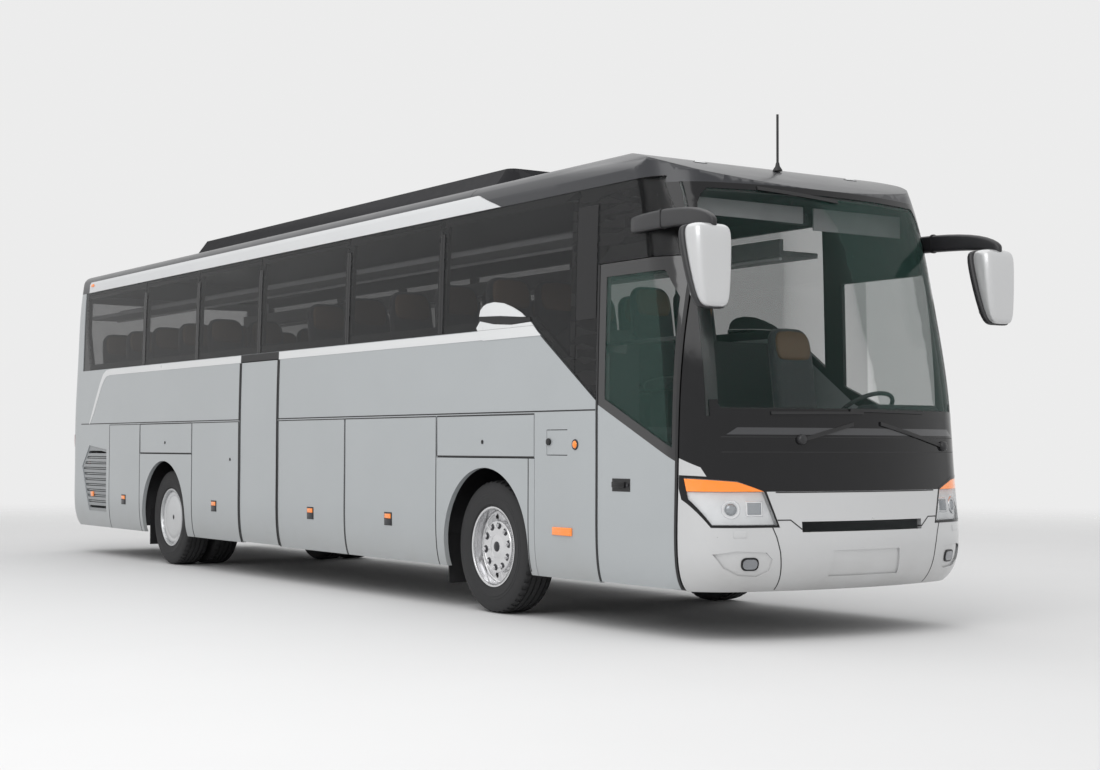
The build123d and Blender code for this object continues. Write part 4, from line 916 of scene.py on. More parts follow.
class COACH_OT_side_trim(bpy.types.Operator):
    """White strip below the windows with its curved tail and its cap, and the black door seals"""
    bl_idname = "coach.side_trim"
    bl_label = "Side trim"

    def execute(self, context):
        sizes = context.scene.coach_sizes
        low, high = sizes.strip_low, sizes.strip_low + sizes.strip_height
        mid_low, mid_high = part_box("mid_door_leaf")
        door_low, door_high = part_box("front_door_leaf")
        front_x = door_low.x - 0.83
        bend_x = tail_x + 1.43
        tail = [(bend_x, high), (bend_x - 0.13, high - 0.012), (bend_x - 0.23, high - 0.055),
                (bend_x - 0.32, high - 0.15), (bend_x - 0.43, high - 0.30), (bend_x - 0.55, high - 0.47),
                (bend_x - 0.665, low - 0.57), (bend_x - 0.645, low - 0.57), (bend_x - 0.50, low - 0.43),
                (bend_x - 0.38, low - 0.27), (bend_x - 0.27, low - 0.13), (bend_x - 0.19, low - 0.055),
                (bend_x - 0.11, low - 0.012), (bend_x, low)]
        front = [(front_x + 0.105, low), (front_x - 0.002, high)]
        belt = shells["belt_panels"]
        for label, side in SIDES:
            if side > 0:
                runs = [tail + front]
            else:
                runs = [tail + [(mid_low.x - 0.01, low), (mid_low.x - 0.01, high)],
                        [(mid_high.x + 0.012, high), (mid_high.x + 0.012, low)] + front]
            for number, outline in enumerate(runs):
                dress(patch(f"white_strip_{number}_{label}", belt, outline, label, 0.003), "white_paint")
            base = [(front_x - 0.71, 2.12), (front_x - 0.765, 2.165), (front_x - 0.81, 2.225),
                    (front_x - 0.755, 2.274), (front_x - 0.55, 2.240), (front_x - 0.30, 2.222),
                    (front_x - 0.03, 2.2295), (front_x + 0.104, 2.121)]
            band = [(front_x - 0.775, 2.277), (front_x - 0.770, 2.309), (front_x - 0.45, 2.296),
                    (front_x - 0.15, 2.270), (front_x - 0.045, 2.262), (front_x - 0.03, 2.236),
                    (front_x - 0.30, 2.226), (front_x - 0.55, 2.244)]
            dome = [(front_x - 0.765, 2.312), (front_x - 0.750, 2.359), (front_x - 0.705, 2.390),
                    (front_x - 0.655, 2.405), (front_x - 0.55, 2.412), (front_x - 0.41, 2.395),
                    (front_x - 0.28, 2.356), (front_x - 0.17, 2.312), (front_x - 0.10, 2.272),
                    (front_x - 0.16, 2.275), (front_x - 0.45, 2.299)]
            glass = shells["side_glazing"]
            dress(patch(f"cap_foot_{label}", belt, base, label, 0.005), "white_paint")
            dress(patch(f"cap_base_{label}", glass, base, label, 0.005), "white_paint")
            dress(patch(f"cap_band_{label}", glass, band, label, 0.004), "black_gloss")
            dress(patch(f"cap_dome_{label}", glass, dome, label, 0.009), "white_paint")
            bars = [(x - 0.035, x + 0.035) for x in WINDOW_BARS] + [(door_low.x - 0.27, door_low.x - 0.02)]
            for number, (rear, fore) in enumerate(bars):
                if side > 0 and fore > front_x + 0.3:
                    continue
                bar = [(rear, high + 0.01), (fore, high + 0.01), (fore, 3.02), (rear, 3.02)]
                dress(patch(f"window_bar_{number}_{label}", glass, bar, label, 0.0015), "black_gloss")
            edge = [(front_x + 0.01, 2.188), (door_low.x, 1.626)]
            dress(patch(f"falling_edge_{label}", belt, ribbon(edge, 0.012), label, 0.002), "black_rubber")
        head = [(mid_low.x - 0.006, 2.128), (mid_high.x + 0.008, 2.128), (mid_high.x + 0.008, 2.198),
                (mid_low.x - 0.006, 2.198)]
        dress(patch("mid_door_head", belt, head, "right", 0.002), "black_rubber")
        bodies = bodies_of_nodes()
        seam_width = 0.011
        for node in [name for name in SHELLS if name.startswith(("luggage_flap", "arch_flap"))]:
            label = "right" if "right" in node else "left"
            panel_low, panel_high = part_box(node)
            rear, fore = panel_low.x + seam_width / 2, panel_high.x - seam_width / 2
            top = panel_high.z - seam_width / 2
            path = [(rear, panel_low.z), (rear, top), (fore, top), (fore, panel_low.z)]
            if node.startswith("arch"):
                foot = panel_low.z + seam_width / 2
                path = [(rear, foot), (rear, top), (fore, top), (fore, foot), (rear + seam_width, foot)]
            dress(patch(f"{node}_seam", shells[node], ribbon(path, seam_width), label, SEAM_PROUD),
                  "black_rubber",
                  bodies[node])
        for label, side in SIDES:
            line = [(tail_x + 0.02, 1.556), (door_low.x - 0.01, 1.556)]
            dress(patch(f"belt_seam_{label}", belt, ribbon(line, 0.010), label, SEAM_PROUD), "black_rubber")
            line = [(front_axle_x + 0.63, 0.36), (front_axle_x + 0.63, 1.54)]
            dress(patch(f"panel_seam_1_{label}", shells["lower_panels"], ribbon(line, 0.010), label,
                        SEAM_PROUD),
                  "black_rubber")
        seals = (  # panel, x, low z, high z, width
            ("mid_door_leaf", mid_low.x + 0.008, 0.346, 2.119, 0.016),
            ("mid_door_leaf", mid_high.x - 0.008, 0.346, 2.119, 0.016),
            ("front_door_leaf", door_low.x + 0.010, 0.346, 2.58, 0.020),
            ("front_door_leaf", door_high.x - 0.010, 0.346, 2.58, 0.020),
            ("luggage_flap_right_3", mid_low.x - 0.024, 0.340, 1.535, 0.022),
            ("luggage_flap_right_2", mid_high.x + 0.022, 0.340, 1.535, 0.022),
            ("belt_panels", mid_low.x - 0.020, 1.548, 2.12, 0.022),
            ("belt_panels", mid_high.x + 0.020, 1.548, 2.12, 0.022),
        )
        for number, (panel, x, low_z, high_z, width) in enumerate(seals):
            strip = patch(f"door_seal_{number}", shells[panel], ribbon([(x, low_z), (x, high_z)], width),
                          "right",
                          0.004)
            dress(strip, "black_rubber", bodies[panel])
        return {"FINISHED"}


SEAM_PROUD = 0.0012  # how far a dark seam line stands off its panel
SEAT_WIDTH, SEAT_LENGTH = 0.44, 0.43
SEAT_ROWS, SEAT_PITCH = 12, 0.8
STAIR_ROWS = (5, 6)  # rows left out on the right for the middle door's stairs
SEAT_CENTRES = (0.48, 0.94)  # from the middle of the aisle
SEAT_TOP = 1.88
FIRST_SEAT = 0.717 - 0.35  # front edge of the first row, ahead of the front axle
DRIVER_SEAT = (nose_x - 0.56 - 0.43, 0.65, 1.45)
FAN_RADIUS = 0.15
WINDOW_BARS = (-3.88, -2.35, -0.79, 1.08, 2.73)  # middles of the black bars between the windows
LOUVRE_PITCH = 0.065
LOUVRE_BAR = 0.036
HANDLES = (  # flap, x
    ("luggage_flap_right_1", 1.89), ("luggage_flap_right_2", 0.40), ("luggage_flap_right_3", -1.83),
    ("luggage_flap_right_4", -4.43), ("luggage_flap_left_1", 1.40), ("luggage_flap_left_2", -1.20),
    ("luggage_flap_left_3", -4.43),
)
KEYHOLES = (  # panel, x, z
    ("arch_flap_right_front", 3.41, 1.33), ("arch_flap_right_rear", -3.18, 1.33),
    ("arch_flap_left_front", 3.41, 1.33), ("arch_flap_left_rear", -3.18, 1.33),
    ("luggage_flap_right_3", -1.43, 1.16),
)
REFLECTORS = (  # panel, x, z, half length
    ("lower_panels", 4.52, 0.68, 0.125), ("lower_panels", -5.49, 0.72, 0.045),
)


class COACH_OT_side_fittings(bpy.types.Operator):
    """Flap handles, keyholes, side lamps, filler knob and the front door's handle"""
    bl_idname = "coach.side_fittings"
    bl_label = "Side fittings"

    def execute(self, context):
        bodies = bodies_of_nodes()
        handle = (
            (cuboid("handle_recess", (-0.066, -0.004, -0.056), (0.066, 0.002, 0.056), 0.003),
             "black_rubber"),
            (cuboid("handle_lens", (-0.052, -0.009, 0.004), (0.052, -0.002, 0.044), 0.003), "amber_lens"),
            (cuboid("handle_pull", (-0.054, -0.008, -0.048), (0.054, -0.002, -0.002), 0.003), "dark_metal"),
        )
        for node, x in HANDLES:
            side = -1 if "right" in node else 1
            place, normal = skin_point(shells[node], x, 0.68, side)
            for shape, finish in handle:
                dress(stick(twin(shape, f"{shape.name}_{node}"), place, normal), finish, bodies[node])
        keyhole = drum("keyhole", (0, -0.002, 0), 0.016, 0.006, vertices=24, bevel=0.0015)
        for number, (node, x, z) in enumerate(KEYHOLES):
            side = -1 if "right" in node else 1
            place, normal = skin_point(shells[node], x, z, side)
            dress(stick(twin(keyhole, f"keyhole_{number}"), place, normal), "black_gloss", bodies[node])
        grille_low, grille_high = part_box("side_grilles")
        pitch, bar = LOUVRE_PITCH, LOUVRE_BAR
        for label, side in SIDES:
            slats = []
            for row in range(1, int((grille_high.z - grille_low.z) / pitch) - 1):
                z = grille_low.z + pitch * (row + 0.5) + bar / 2
                below = max(grille_high.z - 0.25 - z, 0.0) / (grille_high.z - grille_low.z - 0.25)
                above = max(z - grille_high.z + 0.25, 0.0) / 0.25
                rear = grille_low.x + 0.04 + 0.24 * max(below, above)
                fore = grille_high.x - 0.03
                place, normal = skin_point(shells["lower_panels"], grille_high.x + 0.06, z, side)
                slat = cuboid("slat", ((rear - fore) / 2, -0.001, -0.007), ((fore - rear) / 2, 0.010, 0.007),
                              0.002)
                middle = Vector(((rear + fore) / 2, place.y, z))
                slats.append(stick(slat, middle, Vector((0, side, 0)), -0.014))
            dress(joined(slats, f"grille_slats_{label}"), "grille_paint")
            for number, (node, x, z, half) in enumerate(REFLECTORS):
                place, normal = skin_point(shells[node] if x > 0 else shells["side_grilles"], x, z, side)
                shape = cuboid("side_reflector", (-half, -0.012, -0.030), (half, 0.0, 0.030), 0.008)
                name = f"side_reflector_{number}_{label}"
                shape.name = name
                dress(stick(shape, place, normal), "amber_lens")
            place, normal = skin_point(shells["lower_panels"], 4.68, 1.31, side)
            ring = turned_body(f"side_lamp_ring_{label}", [(0.030, 0.0), (0.030, -0.008), (0.037, -0.006),
                                                          (0.040, 0.0), (0.030, 0.0)], (0, 0, 0), 32)
            smooth(ring)
            dress(stick(ring, place, normal), "dark_metal")
            bulb = turned_body(f"side_lamp_{label}", [(0.0, -0.016), (0.014, -0.014), (0.025, -0.010),
                                                      (0.031, 0.0),
                                                      (0.0, 0.0)], (0, 0, 0), 32)
            smooth(bulb, 60)
            dress(stick(bulb, place, normal), "amber_lens")
        place, normal = skin_point(shells["filler_flap"], 4.345, 1.33, -1)
        knob = drum("filler_knob", (0, -0.008, 0), 0.026, 0.016, vertices=32, bevel=0.004)
        dress(stick(knob, place, normal), "black_rubber", "filler_flap")
        place, normal = skin_point(shells["front_door_leaf"], 5.24, 1.03, -1)
        dish = cuboid("door_handle_dish", (-0.105, -0.003, -0.045), (0.105, 0.002, 0.045), 0.003)
        dress(stick(dish, place, normal), "black_rubber", "front_door")
        grip = cuboid("door_handle_grip", (-0.095, -0.018, -0.020), (0.055, -0.004, 0.024), 0.006)
        dress(stick(grip, place, normal), "black_gloss", "front_door")
        lock = drum("door_lock", (0.080, -0.006, 0.0), 0.013, 0.010, vertices=24, bevel=0.002)
        dress(stick(lock, place, normal), "dark_metal", "front_door")
        discard(*(shape for shape, finish in handle), keyhole)
        return {"FINISHED"}


class COACH_PT_panel(bpy.types.Panel):
    """Buttons for each group of pieces"""
    bl_idname = "COACH_PT_panel"
    bl_label = "Coach"
    bl_space_type = "VIEW_3D"
    bl_region_type = "UI"
    bl_category = "Coach"

    def draw(self, context):
        for operator in OPERATORS:
            self.layout.operator(operator.bl_idname)


class COACH_OT_nose(bpy.types.Operator):
    """Headlamps, fog lamps, seams, recesses and marker lamps of the front"""
    bl_idname = "coach.nose"
    bl_label = "Nose"

    def execute(self, context):
        bumper = shells["front_bumper"]
        mask = shells["front_mask"]
        lamps = shells["headlamps"]
        plate_recess = [(-0.32, 0.43), (0.32, 0.43), (0.305, 0.605), (-0.305, 0.605)]
        sink(bumper, plate_recess, "front", 0.04, 0.012)
        for label, side in SIDES:
            hollow = [(side * y, z) for y, z in (
                (1.15, 0.590), (1.02, 0.612), (0.82, 0.600), (0.775, 0.555), (0.790, 0.480), (0.870, 0.440),
                (1.00, 0.450), (1.09, 0.500))]
            sink(bumper, hollow, "front", 0.04, 0.010)
        for label, side in SIDES:
            rim = [(side * y, z) for y, z in (
                (0.722, 0.764), (1.156, 0.764), (1.254, 0.945), (1.264, 1.108), (1.000, 1.087),
                (0.806, 1.012))]
            for part, panel in (("low", bumper), ("high", mask)):
                dress(patch(f"lamp_rim_{part}_{label}", panel, rim, "front", 0.002), "black_gloss")
            cover = [(side * y, z) for y, z in (
                (0.742, 0.783), (1.148, 0.783), (1.235, 0.950), (1.240, 0.996), (0.808, 0.996))]
            signal = [(side * y, z) for y, z in (
                (0.800, 1.001), (1.245, 1.001), (1.250, 1.085), (1.000, 1.064), (0.815, 1.003))]
            dress(patch(f"turn_signal_{label}", lamps, signal, "front", 0.001), "amber_lens")
            shell = patch(f"lamp_shell_{label}", lamps, cover, "front", -0.030)
            dress(shell, "lamp_white")
            place, normal = nose_point(lamps, side * 1.045, 0.885)
            bezel = turned_body(f"lamp_bezel_{label}", [(0.046, 0.012), (0.048, -0.004), (0.060, -0.006),
                                                        (0.066, 0.004), (0.064, 0.014), (0.046, 0.012)],
                                                        (0, 0, 0), 40)
            smooth(bezel, 50)
            dress(stick(bezel, place, normal, -0.026), "reflector")
            eye = turned_body(f"lamp_eye_{label}", [(0.0, -0.016), (0.020, -0.014), (0.036, -0.006),
                                                    (0.047, 0.010),
                                                    (0.0, 0.010)], (0, 0, 0), 40)
            smooth(eye, 60)
            dress(stick(eye, place, normal, -0.026), "lamp_eye")
            place, normal = nose_point(lamps, side * 0.885, 0.890)
            frame_box = cuboid(f"lamp_frame_{label}", (-0.062, 0.0, -0.052), (0.062, 0.010, 0.052), 0.008)
            dress(stick(frame_box, place, normal, -0.024), "reflector")
            inner = cuboid(f"lamp_mirror_{label}", (-0.050, -0.002, -0.040), (0.050, 0.004, 0.040), 0.010)
            dress(stick(inner, place, normal, -0.024), "lamp_eye")
            place, normal = nose_point(lamps, side * 1.155, 0.915)
            ribs = []
            for row in range(6):
                rib = cuboid("lamp_rib", (-0.020, 0.0, -0.055 + row * 0.020),
                             (0.020, 0.006, -0.046 + row * 0.020),
                             0.002)
                ribs.append(rib)
            dress(stick(joined(ribs, f"lamp_ribs_{label}"), place, normal, -0.024), "reflector")
            seam = [(side * y, z) for y, z in ((0.690, 0.345), (0.702, 0.45), (0.722, 0.60), (0.748, 0.70),
                                               (0.775, 0.765))]
            dress(patch(f"bumper_seam_{label}", bumper, ribbon(seam, 0.007), "front", 0.0015),
                  "black_rubber")
            shelf = [(side * y, z) for y, z in ((0.735, 0.812), (0.640, 0.812), (0.560, 0.752),
                                                (0.500, 0.732))]
            dress(patch(f"shelf_seam_{label}", bumper, ribbon(shelf, 0.008), "front", 0.0015),
                  "black_rubber")
            place, normal = nose_point(bumper, side * 0.925, 0.525)
            housing = prism(f"fog_lamp_frame_{label}", [
                (u, 0.008, v) for u, v in rounded(0.124, 0.088, 0.034)],
                            (0, -0.013, 0))
            dress(stick(housing, place, normal), "black_gloss")
            glass = prism(f"fog_lamp_{label}", [(u, 0.0, v) for u, v in rounded(0.102, 0.066, 0.028)],
                          (0, -0.010, 0))
            dress(stick(glass, place, normal), "fog_glass")
            place, normal = nose_point(bumper, side * 1.00, 0.722)
            cap = cuboid(f"washer_cap_{label}", (-0.045, -0.0035, -0.024), (0.045, 0.004, 0.024), 0.003)
            dress(stick(cap, place, normal), "silver_paint")
            place, normal = nose_point(shells["roof_front_cap"], side * 0.72, 3.30)
            base = cuboid(f"marker_base_{label}", (-0.055, -0.004, -0.020), (0.055, 0.010, 0.020), 0.009)
            dress(stick(base, place, normal), "black_gloss")
            bulb = cuboid(f"marker_lamp_{label}", (-0.040, -0.009, -0.012), (0.040, 0.0, 0.012), 0.005)
            dress(stick(bulb, place, normal), "lamp_white")
        screen = shells["windscreen"]
        blades = (  # ends of each blade and its arm's pivot, seen from the front
            ((-0.74, 1.522), (0.02, 1.530), (-0.52, 1.345)), ((-0.10, 1.548), (0.66, 1.540), (0.90, 1.305)))
        for number, (start, end, pivot) in enumerate(blades):
            line = [start, ((start[0] + end[0]) / 2, (start[1] + end[1]) / 2), end]
            dress(patch(f"wiper_blade_{number}", screen, ribbon(line, 0.020), "front", 0.012),
                  "black_rubber")
            place, normal = nose_point(mask, *pivot)
            cap = turned_body(f"wiper_pivot_{number}", [(0.0, -0.034), (0.022, -0.032), (0.032, -0.024),
                                                        (0.036, 0.0), (0.0, 0.0)], (0, 0, 0), 32)
            smooth(cap, 50)
            dress(stick(cap, place, normal), "black_satin")
        low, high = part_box("windscreen")
        for end, level, way in (("low", low.z, 1), ("high", high.z, -1)):
            half = 1.10 if way > 0 else 1.065
            reach = 0.10 if way > 0 else 0.20
            for label, side in SIDES:
                corner = [(side * (half + 0.03), level - way * 0.01),
                          (side * (half - reach), level - way * 0.01)]
                for step in range(6):
                    angle = math.pi / 2 * step / 5
                    corner.append((side * (half - reach + reach * math.sin(angle) - 0.012),
                                   level + way * (reach - reach * math.cos(angle) + 0.010)))
                corner.append((side * (half + 0.03), level + way * (reach + 0.01)))
                dress(patch(f"screen_corner_{end}_{label}", screen, corner, "front", 0.001), "black_gloss")
            border = [(-half, level + way * 0.018), (half, level + way * 0.018)]
            dress(patch(f"screen_border_{end}", screen, ribbon(border, 0.07 if way > 0 else 0.05), "front",
                        0.0008),
                  "black_gloss")
        aerial_low, aerial_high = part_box("aerial")
        foot = turned_body("aerial_foot", [(0.0, -0.06), (0.012, -0.058), (0.018, -0.03), (0.034, -0.006),
                                           (0.036, 0.004), (0.0, 0.004)], (0, 0, 0), 32)
        smooth(foot, 50)
        middle = (aerial_low + aerial_high) / 2
        foot.data.transform(Matrix.Translation((middle.x, middle.y, aerial_low.z + 0.012)) @
                            Matrix.Rotation(-math.pi / 2, 4, "X"))
        outward(foot)
        dress(foot, "black_rubber")
        for number, height in enumerate((1.262, 1.362)):
            line = [(-1.08, height), (1.08, height)]
            dress(patch(f"mask_seam_{number}", mask, ribbon(line, 0.005), "front", SEAM_PROUD),
                  "black_rubber")
        strip = [(-1.05, 1.378), (1.05, 1.378), (0.98, 1.425), (-0.98, 1.425)]
        dress(patch("mask_strip", mask, strip, "front", 0.0015), "grey_trim")
        line = [(-0.735, 0.995), (0.735, 0.995)]
        dress(patch("panel_seam", bumper, ribbon(line, 0.008), "front", SEAM_PROUD), "black_rubber")
        return {"FINISHED"}


class COACH_OT_mirrors(bpy.types.Operator):
    """Mirror arms and heads: black arm and rim, silver shell, two glasses to the rear"""
    bl_idname = "coach.mirrors"
    bl_label = "Mirrors"

    def execute(self, context):
        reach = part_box("mirrors")[1].x
        arm = lofted("mirror_arm", rounded(0.062, 0.13, 0.026), "X", [
            ((reach - 1.06, -1.235, 2.82), 0.9, 0.80), ((reach - 1.02, -1.25, 2.825), 1.0, 0.95),
            ((reach - 0.72, -1.275, 2.83), 1.05, 1.0), ((reach - 0.52, -1.29, 2.825), 1.05, 1.0),
            ((reach - 0.30, -1.31, 2.81), 1.05, 0.92), ((reach - 0.16, -1.325, 2.785), 1.0, 0.80),
            ((reach - 0.07, -1.332, 2.755), 0.9, 0.60), ((reach - 0.04, -1.333, 2.735), 0.6, 0.35)])
        modify(arm, "SUBSURF", levels=1, render_levels=1)
        collar = lofted("mirror_collar", rounded(0.070, 0.142, 0.028), "X", [
            ((reach - 0.66, -1.279, 2.829), 1.0, 1.0), ((reach - 0.648, -1.280, 2.829), 1.0, 1.0)])
        head_y = -(1.17 + 1.50) / 2
        shell = lofted("mirror_shell", rounded(0.12, 0.310, 0.050, 5), "Z", [
            ((reach - 0.050, head_y, 2.192), 0.30, 0.40), ((reach - 0.053, head_y, 2.204), 0.55, 0.60),
            ((reach - 0.060, head_y, 2.245), 0.72, 0.76), ((reach - 0.078, head_y, 2.36), 0.95, 0.88),
            ((reach - 0.098, head_y, 2.52), 1.25, 0.97), ((reach - 0.115, head_y, 2.65), 1.48, 1.0),
            ((reach - 0.120, head_y, 2.705), 1.42, 0.97), ((reach - 0.125, head_y, 2.730), 1.10, 0.85),
            ((reach - 0.130, head_y, 2.738), 0.65, 0.60)])
        modify(shell, "SUBSURF", levels=1, render_levels=1)
        rim = lofted("mirror_rim", rounded(0.060, 0.325, 0.028, 5), "Z", [
            ((reach - 0.080, head_y, 2.183), 0.5, 0.45), ((reach - 0.085, head_y, 2.192), 0.85, 0.66),
            ((reach - 0.105, head_y, 2.235), 1.0, 0.80), ((reach - 0.140, head_y, 2.36), 1.0, 0.91),
            ((reach - 0.180, head_y, 2.52), 1.0, 0.98), ((reach - 0.210, head_y, 2.66), 1.0, 1.0),
            ((reach - 0.212, head_y, 2.715), 0.9, 0.95), ((reach - 0.205, head_y, 2.738), 0.5, 0.7)])
        modify(rim, "SUBSURF", levels=1, render_levels=1)
        for name, low_z, high_z in (("mirror_main_glass", 2.41, 2.68), ("mirror_wide_glass", 2.250, 2.385)):
            outline = [(reach - 0.137 - 0.245 * (v + (low_z + high_z) / 2 - 2.25), head_y + u,
                        v + (low_z + high_z) / 2) for u, v in rounded(0.25, high_z - low_z, 0.03, 5)]
            glass = prism(name, outline, (0.012, 0, 0))
            smooth(glass)
            other = mirrored(glass, name + "_left")
            glass.name = name + "_right"
            dress(glass, "mirror_glass")
            dress(other, "mirror_glass")
        for piece, finish in ((arm, "black_satin"), (collar, "black_rubber"), (shell, "silver_paint"),
                              (rim, "black_satin")):
            other = mirrored(piece, piece.name + "_left")
            piece.name = piece.name + "_right"
            for half in (piece, other):
                dress(half, finish)
                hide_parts("mirrors")
        return {"FINISHED"}


class COACH_OT_seats(bpy.types.Operator):
    """Passenger seats with crowned cushions, padded backs and leather head rests, and the driver's seat"""
    bl_idname = "coach.seats"
    bl_label = "Seats"

    def execute(self, context):
        width, length = SEAT_WIDTH, SEAT_LENGTH
        cushion = lofted("seat_cushion", rounded(width - 0.02, 0.115, 0.045, 3), "X", [
            ((-length + 0.02, 0, -0.085), 0.90, 0.55), ((-length + 0.05, 0, -0.075), 0.97, 0.85),
            ((-length / 2, 0, -0.066), 0.94, 1.0), ((-0.10, 0, -0.062), 0.98, 1.05),
            ((-0.035, 0, -0.068), 1.0, 0.95), ((-0.012, 0, -0.078), 0.92, 0.6)])
        modify(cushion, "SUBSURF", levels=1, render_levels=1)
        back = lofted("seat_back", rounded(0.085, width - 0.02, 0.036, 3), "Z", [
            ((-length - 0.010, 0, -0.10), 0.6, 0.86), ((-length - 0.018, 0, -0.06), 0.95, 0.95),
            ((-length - 0.035, 0, 0.10), 1.15, 1.0), ((-length - 0.065, 0, 0.30), 1.0, 0.98),
            ((-length - 0.095, 0, 0.50), 1.0, 1.0), ((-length - 0.122, 0, 0.66), 1.0, 0.97),
            ((-length - 0.130, 0, 0.70), 1.0, 0.90), ((-length - 0.140, 0, 0.745), 0.85, 0.74),
            ((-length - 0.144, 0, 0.768), 0.4, 0.5)])
        modify(back, "SUBSURF", levels=1, render_levels=1)
        head = lofted("head_rest", rounded(0.050, 0.30, 0.022, 3), "Z", [
            ((-length - 0.062, 0, 0.515), 0.4, 0.90), ((-length - 0.064, 0, 0.54), 0.9, 1.08),
            ((-length - 0.074, 0, 0.60), 1.2, 1.16), ((-length - 0.090, 0, 0.69), 1.1, 1.12),
            ((-length - 0.106, 0, 0.750), 0.6, 0.90)])
        modify(head, "SUBSURF", levels=1, render_levels=1)
        foot = cuboid("seat_foot", (-length + 0.08, -0.15, -0.43), (-0.12, 0.15, -0.12), 0.01)
        shapes = ((cushion, "seat_fabric"), (back, "seat_fabric"), (head, "head_leather"),
                  (foot, "chassis_steel"))
        places = []
        for row in range(SEAT_ROWS):
            front_x = front_axle_x + FIRST_SEAT - SEAT_PITCH * row
            for side in (-1, 1):
                if side < 0 and row in STAIR_ROWS:
                    continue
                for centre in SEAT_CENTRES:
                    name = f"seat_{row + 1}_{'left' if side > 0 else 'right'}_{centre:.2f}".replace(".", "_")
                    places.append((name, (front_x, side * centre, SEAT_TOP)))
        places.append(("driver_seat", DRIVER_SEAT))
        fabric, feet = [], []
        for name, place in places:
            for shape, finish in shapes:
                piece = twin(shape, f"{name}_{shape.name}", place)
                if finish == "chassis_steel":
                    feet.append(piece)
                    continue
                dress(piece, finish, "root")
                if shape is back or shape is cushion:
                    fabric.append(piece)
        frame_piece = dress(joined(feet, "seat_feet"), "chassis_steel")
        for piece in fabric + [frame_piece]:
            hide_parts("seats")
        discard(cushion, back, head, foot)
        return {"FINISHED"}


class COACH_OT_cab(bpy.types.Operator):
    """Instrument hood, centre mirror, blinds, partitions, entrance rail and rack lamps"""
    bl_idname = "coach.cab"
    bl_label = "Cab"

    def execute(self, context):
        dash = cuboid("instrument_hood", (nose_x - 0.53, 0.36, 1.46), (nose_x - 0.26, 0.98, 1.60), 0.05, 4)
        dress(dash, "dash_plastic")
        face = cuboid("instrument_face", (nose_x - 0.538, 0.44, 1.475), (nose_x - 0.525, 0.90, 1.575), 0.004)
        dress(face, "black_gloss")
        shelf = cuboid("guide_shelf", (nose_x - 0.50, -0.38, 1.46), (nose_x - 0.22, 0.30, 1.515), 0.02)
        dress(shelf, "dash_plastic")
        mirror = cuboid("centre_mirror", (nose_x - 0.80, -0.16, 2.90), (nose_x - 0.765, 0.16, 2.985), 0.014)
        dress(mirror, "dash_plastic")
        stem = drum("centre_mirror_stem", (nose_x - 0.785, 0.0, 3.03), 0.010, 0.10, "Z", 16)
        dress(stem, "dash_plastic")
        blind = cuboid("driver_blind", (nose_x - 0.72, 0.15, 2.86), (nose_x - 0.705, 1.02, 3.02), 0.004)
        dress(blind, "rack_plastic")
        blind = cuboid("guide_blind", (nose_x - 0.72, -1.02, 2.90), (nose_x - 0.705, 0.05, 3.02), 0.004)
        dress(blind, "rack_plastic")
        wall_x = front_axle_x + 0.717
        wall = prism("driver_partition", [(wall_x + 0.02, 0.30 + u, 1.72 + v) for u, v in
                                          [(0, -0.66), (0.86, -0.66), (0.86, 0.30), (0.70, 0.42),
                                           (0.10, 0.42),
                                           (0.0, 0.30)]], (0.03, 0, 0))
        dress(wall, "dash_plastic")
        guard = prism("guide_partition", [(wall_x + 0.02, -0.34 - u, 1.95 + v) for u, v in
                                          [(0, -0.50), (0.80, -0.50), (0.80, 0.16), (0.68, 0.24),
                                           (0.10, 0.24),
                                           (0.0, 0.16)]], (0.03, 0, 0))
        dress(guard, "dash_plastic")
        rail = drum("entrance_rail", (front_axle_x + 1.50, -0.42, 1.45), 0.017, 0.90, "Z", 20, 0.006)
        dress(rail, "polished_rim")
        rack_low, rack_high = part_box("luggage_racks")
        for label, side in SIDES:
            middle = ((rack_low.x + rack_high.x) / 2, side * 0.90, rack_low.z - 0.012)
            tube = drum(f"rack_lamp_{label}", middle, 0.014, rack_high.x - rack_low.x - 0.2, "X", 16)
            dress(tube, "lamp_white")
        return {"FINISHED"}


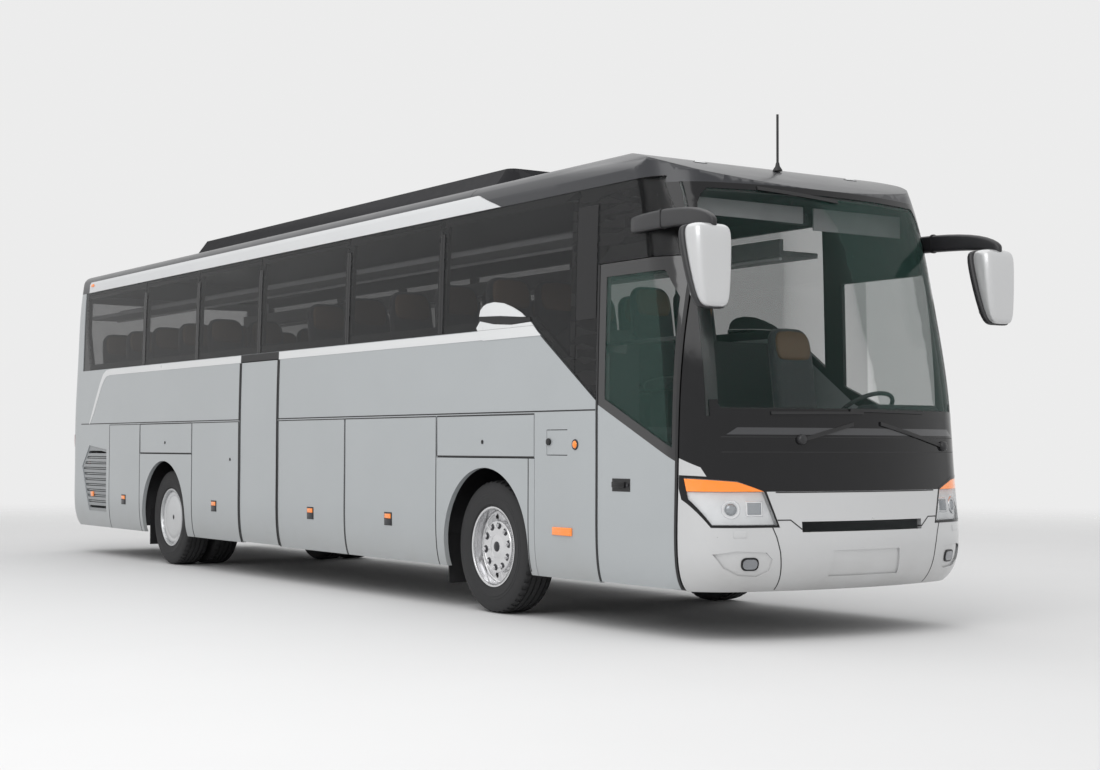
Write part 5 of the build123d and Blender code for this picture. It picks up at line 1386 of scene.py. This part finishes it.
class COACH_OT_roof_and_rear(bpy.types.Operator):
    """Fans of the roof unit, roof seams, rail lamps, and the rear's reflectors, slats, handle and plate"""
    bl_idname = "coach.roof_and_rear"
    bl_label = "Roof and rear"

    def execute(self, context):
        low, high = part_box("air_conditioner")
        top = high.z
        fans, grilles = [], []
        for number in range(4):
            x = low.x + 0.9 + number * (high.x - low.x - 1.8) / 3
            for y in (-0.26, 0.26):
                fans.append(turned_body("fan_ring", [(FAN_RADIUS, -0.008), (FAN_RADIUS, 0.0),
                                                     (0.172, 0.0), (0.176, -0.008), (FAN_RADIUS, -0.008)],
                                                     (0, 0, 0), 40))
                fans[-1].data.transform(
                    Matrix.Translation((x, y, top - 0.001)) @ Matrix.Rotation(math.pi / 2, 4, "X"))
                outward(fans[-1])
                for bar in range(7):
                    reach = 0.045 * (bar - 3)
                    half = math.sqrt(FAN_RADIUS ** 2 - reach ** 2)
                    grilles.append(cuboid("fan_bar", (x - half, y + reach - 0.004, top - 0.006),
                                          (x + half, y + reach + 0.004, top - 0.001)))
        rings = joined(fans, "fan_rings")
        smooth(rings)
        dress(rings, "black_satin")
        dress(joined(grilles, "fan_bars"), "black_satin")
        wall = shells["rear_wall"]
        lid = shells["engine_lid"]
        for label, side in SIDES:
            lamp = [(tail_x + 0.24, 1.43), (tail_x - 0.05, 1.43), (tail_x - 0.05, 1.04),
                    (tail_x + 0.09, 1.04)]
            wrap = patch(f"tail_lamp_wrap_rear_wall_{label}", wall, lamp, label, 0.003)
            wrap.data.transform(Matrix.Translation((-0.005, 0, 0)))
            dress(wrap, "tail_lens")
            place, normal = tail_point(wall, side * 1.12, 0.56)
            disc = turned_body(f"rear_reflector_{label}", [(0.0, -0.008), (0.034, -0.008), (0.038, -0.003),
                                                           (0.038, 0.004), (0.0, 0.004)], (0, 0, 0), 32)
            smooth(disc)
            dress(stick(disc, place, normal), "red_lens")
        slats = []
        for row in range(9):
            place, normal = tail_point(lid, 0.0, 1.42 + row * 0.042)
            slat = cuboid("slat", (-0.62, -0.010, -0.012), (0.62, 0.002, 0.006), 0.002)
            slats.append(stick(slat, place, normal))
        dress(joined(slats, "lid_slats"), "dark_grille", bodies_of_nodes()["engine_lid"])
        place, normal = tail_point(lid, 0.0, 0.86)
        handle = cuboid("lid_handle", (-0.10, -0.018, -0.018), (0.10, 0.004, 0.018), 0.007)
        dress(stick(handle, place, normal, -0.014), "black_satin", bodies_of_nodes()["engine_lid"])
        plate_low = cuboid("rear_plate_place", (-0.28, -0.005, -0.07), (0.28, 0.003, 0.07), 0.003)
        place, normal = tail_point(lid, 0.0, 1.10)
        dress(stick(plate_low, place, normal), "white_paint", bodies_of_nodes()["engine_lid"])
        rail_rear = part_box("roof_rails")[0].x
        for label, side in SIDES:
            place, normal = skin_point(shells["roof_rails"], rail_rear + 0.10, 3.235, side)
            lamp = cuboid(f"rail_lamp_{label}", (-0.045, -0.010, -0.016), (0.045, 0.0, 0.016), 0.005)
            dress(stick(lamp, place, normal), "amber_lens")
        for label, side in SIDES:
            line = [(nose_x - 3.26, 3.06), (nose_x - 3.26, 3.45)]
            dress(patch(f"roof_seam_{label}", shells["roof_panel"], ribbon(line, 0.007), label, 0.001),
                  "black_rubber")
        return {"FINISHED"}


OPERATORS = (COACH_OT_studio, COACH_OT_panels, COACH_OT_tyres, COACH_OT_wheel_fittings, COACH_OT_side_trim,
             COACH_OT_side_fittings, COACH_OT_nose, COACH_OT_mirrors, COACH_OT_seats, COACH_OT_cab,
             COACH_OT_roof_and_rear)
GROUPS = (("coach_sizes", CoachSizes), ("coach_colours", CoachColours), ("coach_studio", StudioSettings))


def register():
    for name, group in GROUPS:
        bpy.utils.register_class(group)
        setattr(bpy.types.Scene, name, bpy.props.PointerProperty(type=group))
    for operator in OPERATORS:
        bpy.utils.register_class(operator)
    bpy.utils.register_class(COACH_PT_panel)


def unregister():
    bpy.utils.unregister_class(COACH_PT_panel)
    for operator in reversed(OPERATORS):
        bpy.utils.unregister_class(operator)
    for name, group in reversed(GROUPS):
        delattr(bpy.types.Scene, name)
        bpy.utils.unregister_class(group)


def main():
    register()
    finishes.update(make_finishes(bpy.context.scene.coach_colours))
    for operator in OPERATORS:
        group, name = operator.bl_idname.split(".")
        if getattr(getattr(bpy.ops, group), name)() != {"FINISHED"}:
            raise RuntimeError(operator.bl_label)


if __name__ == "__main__":
    main()
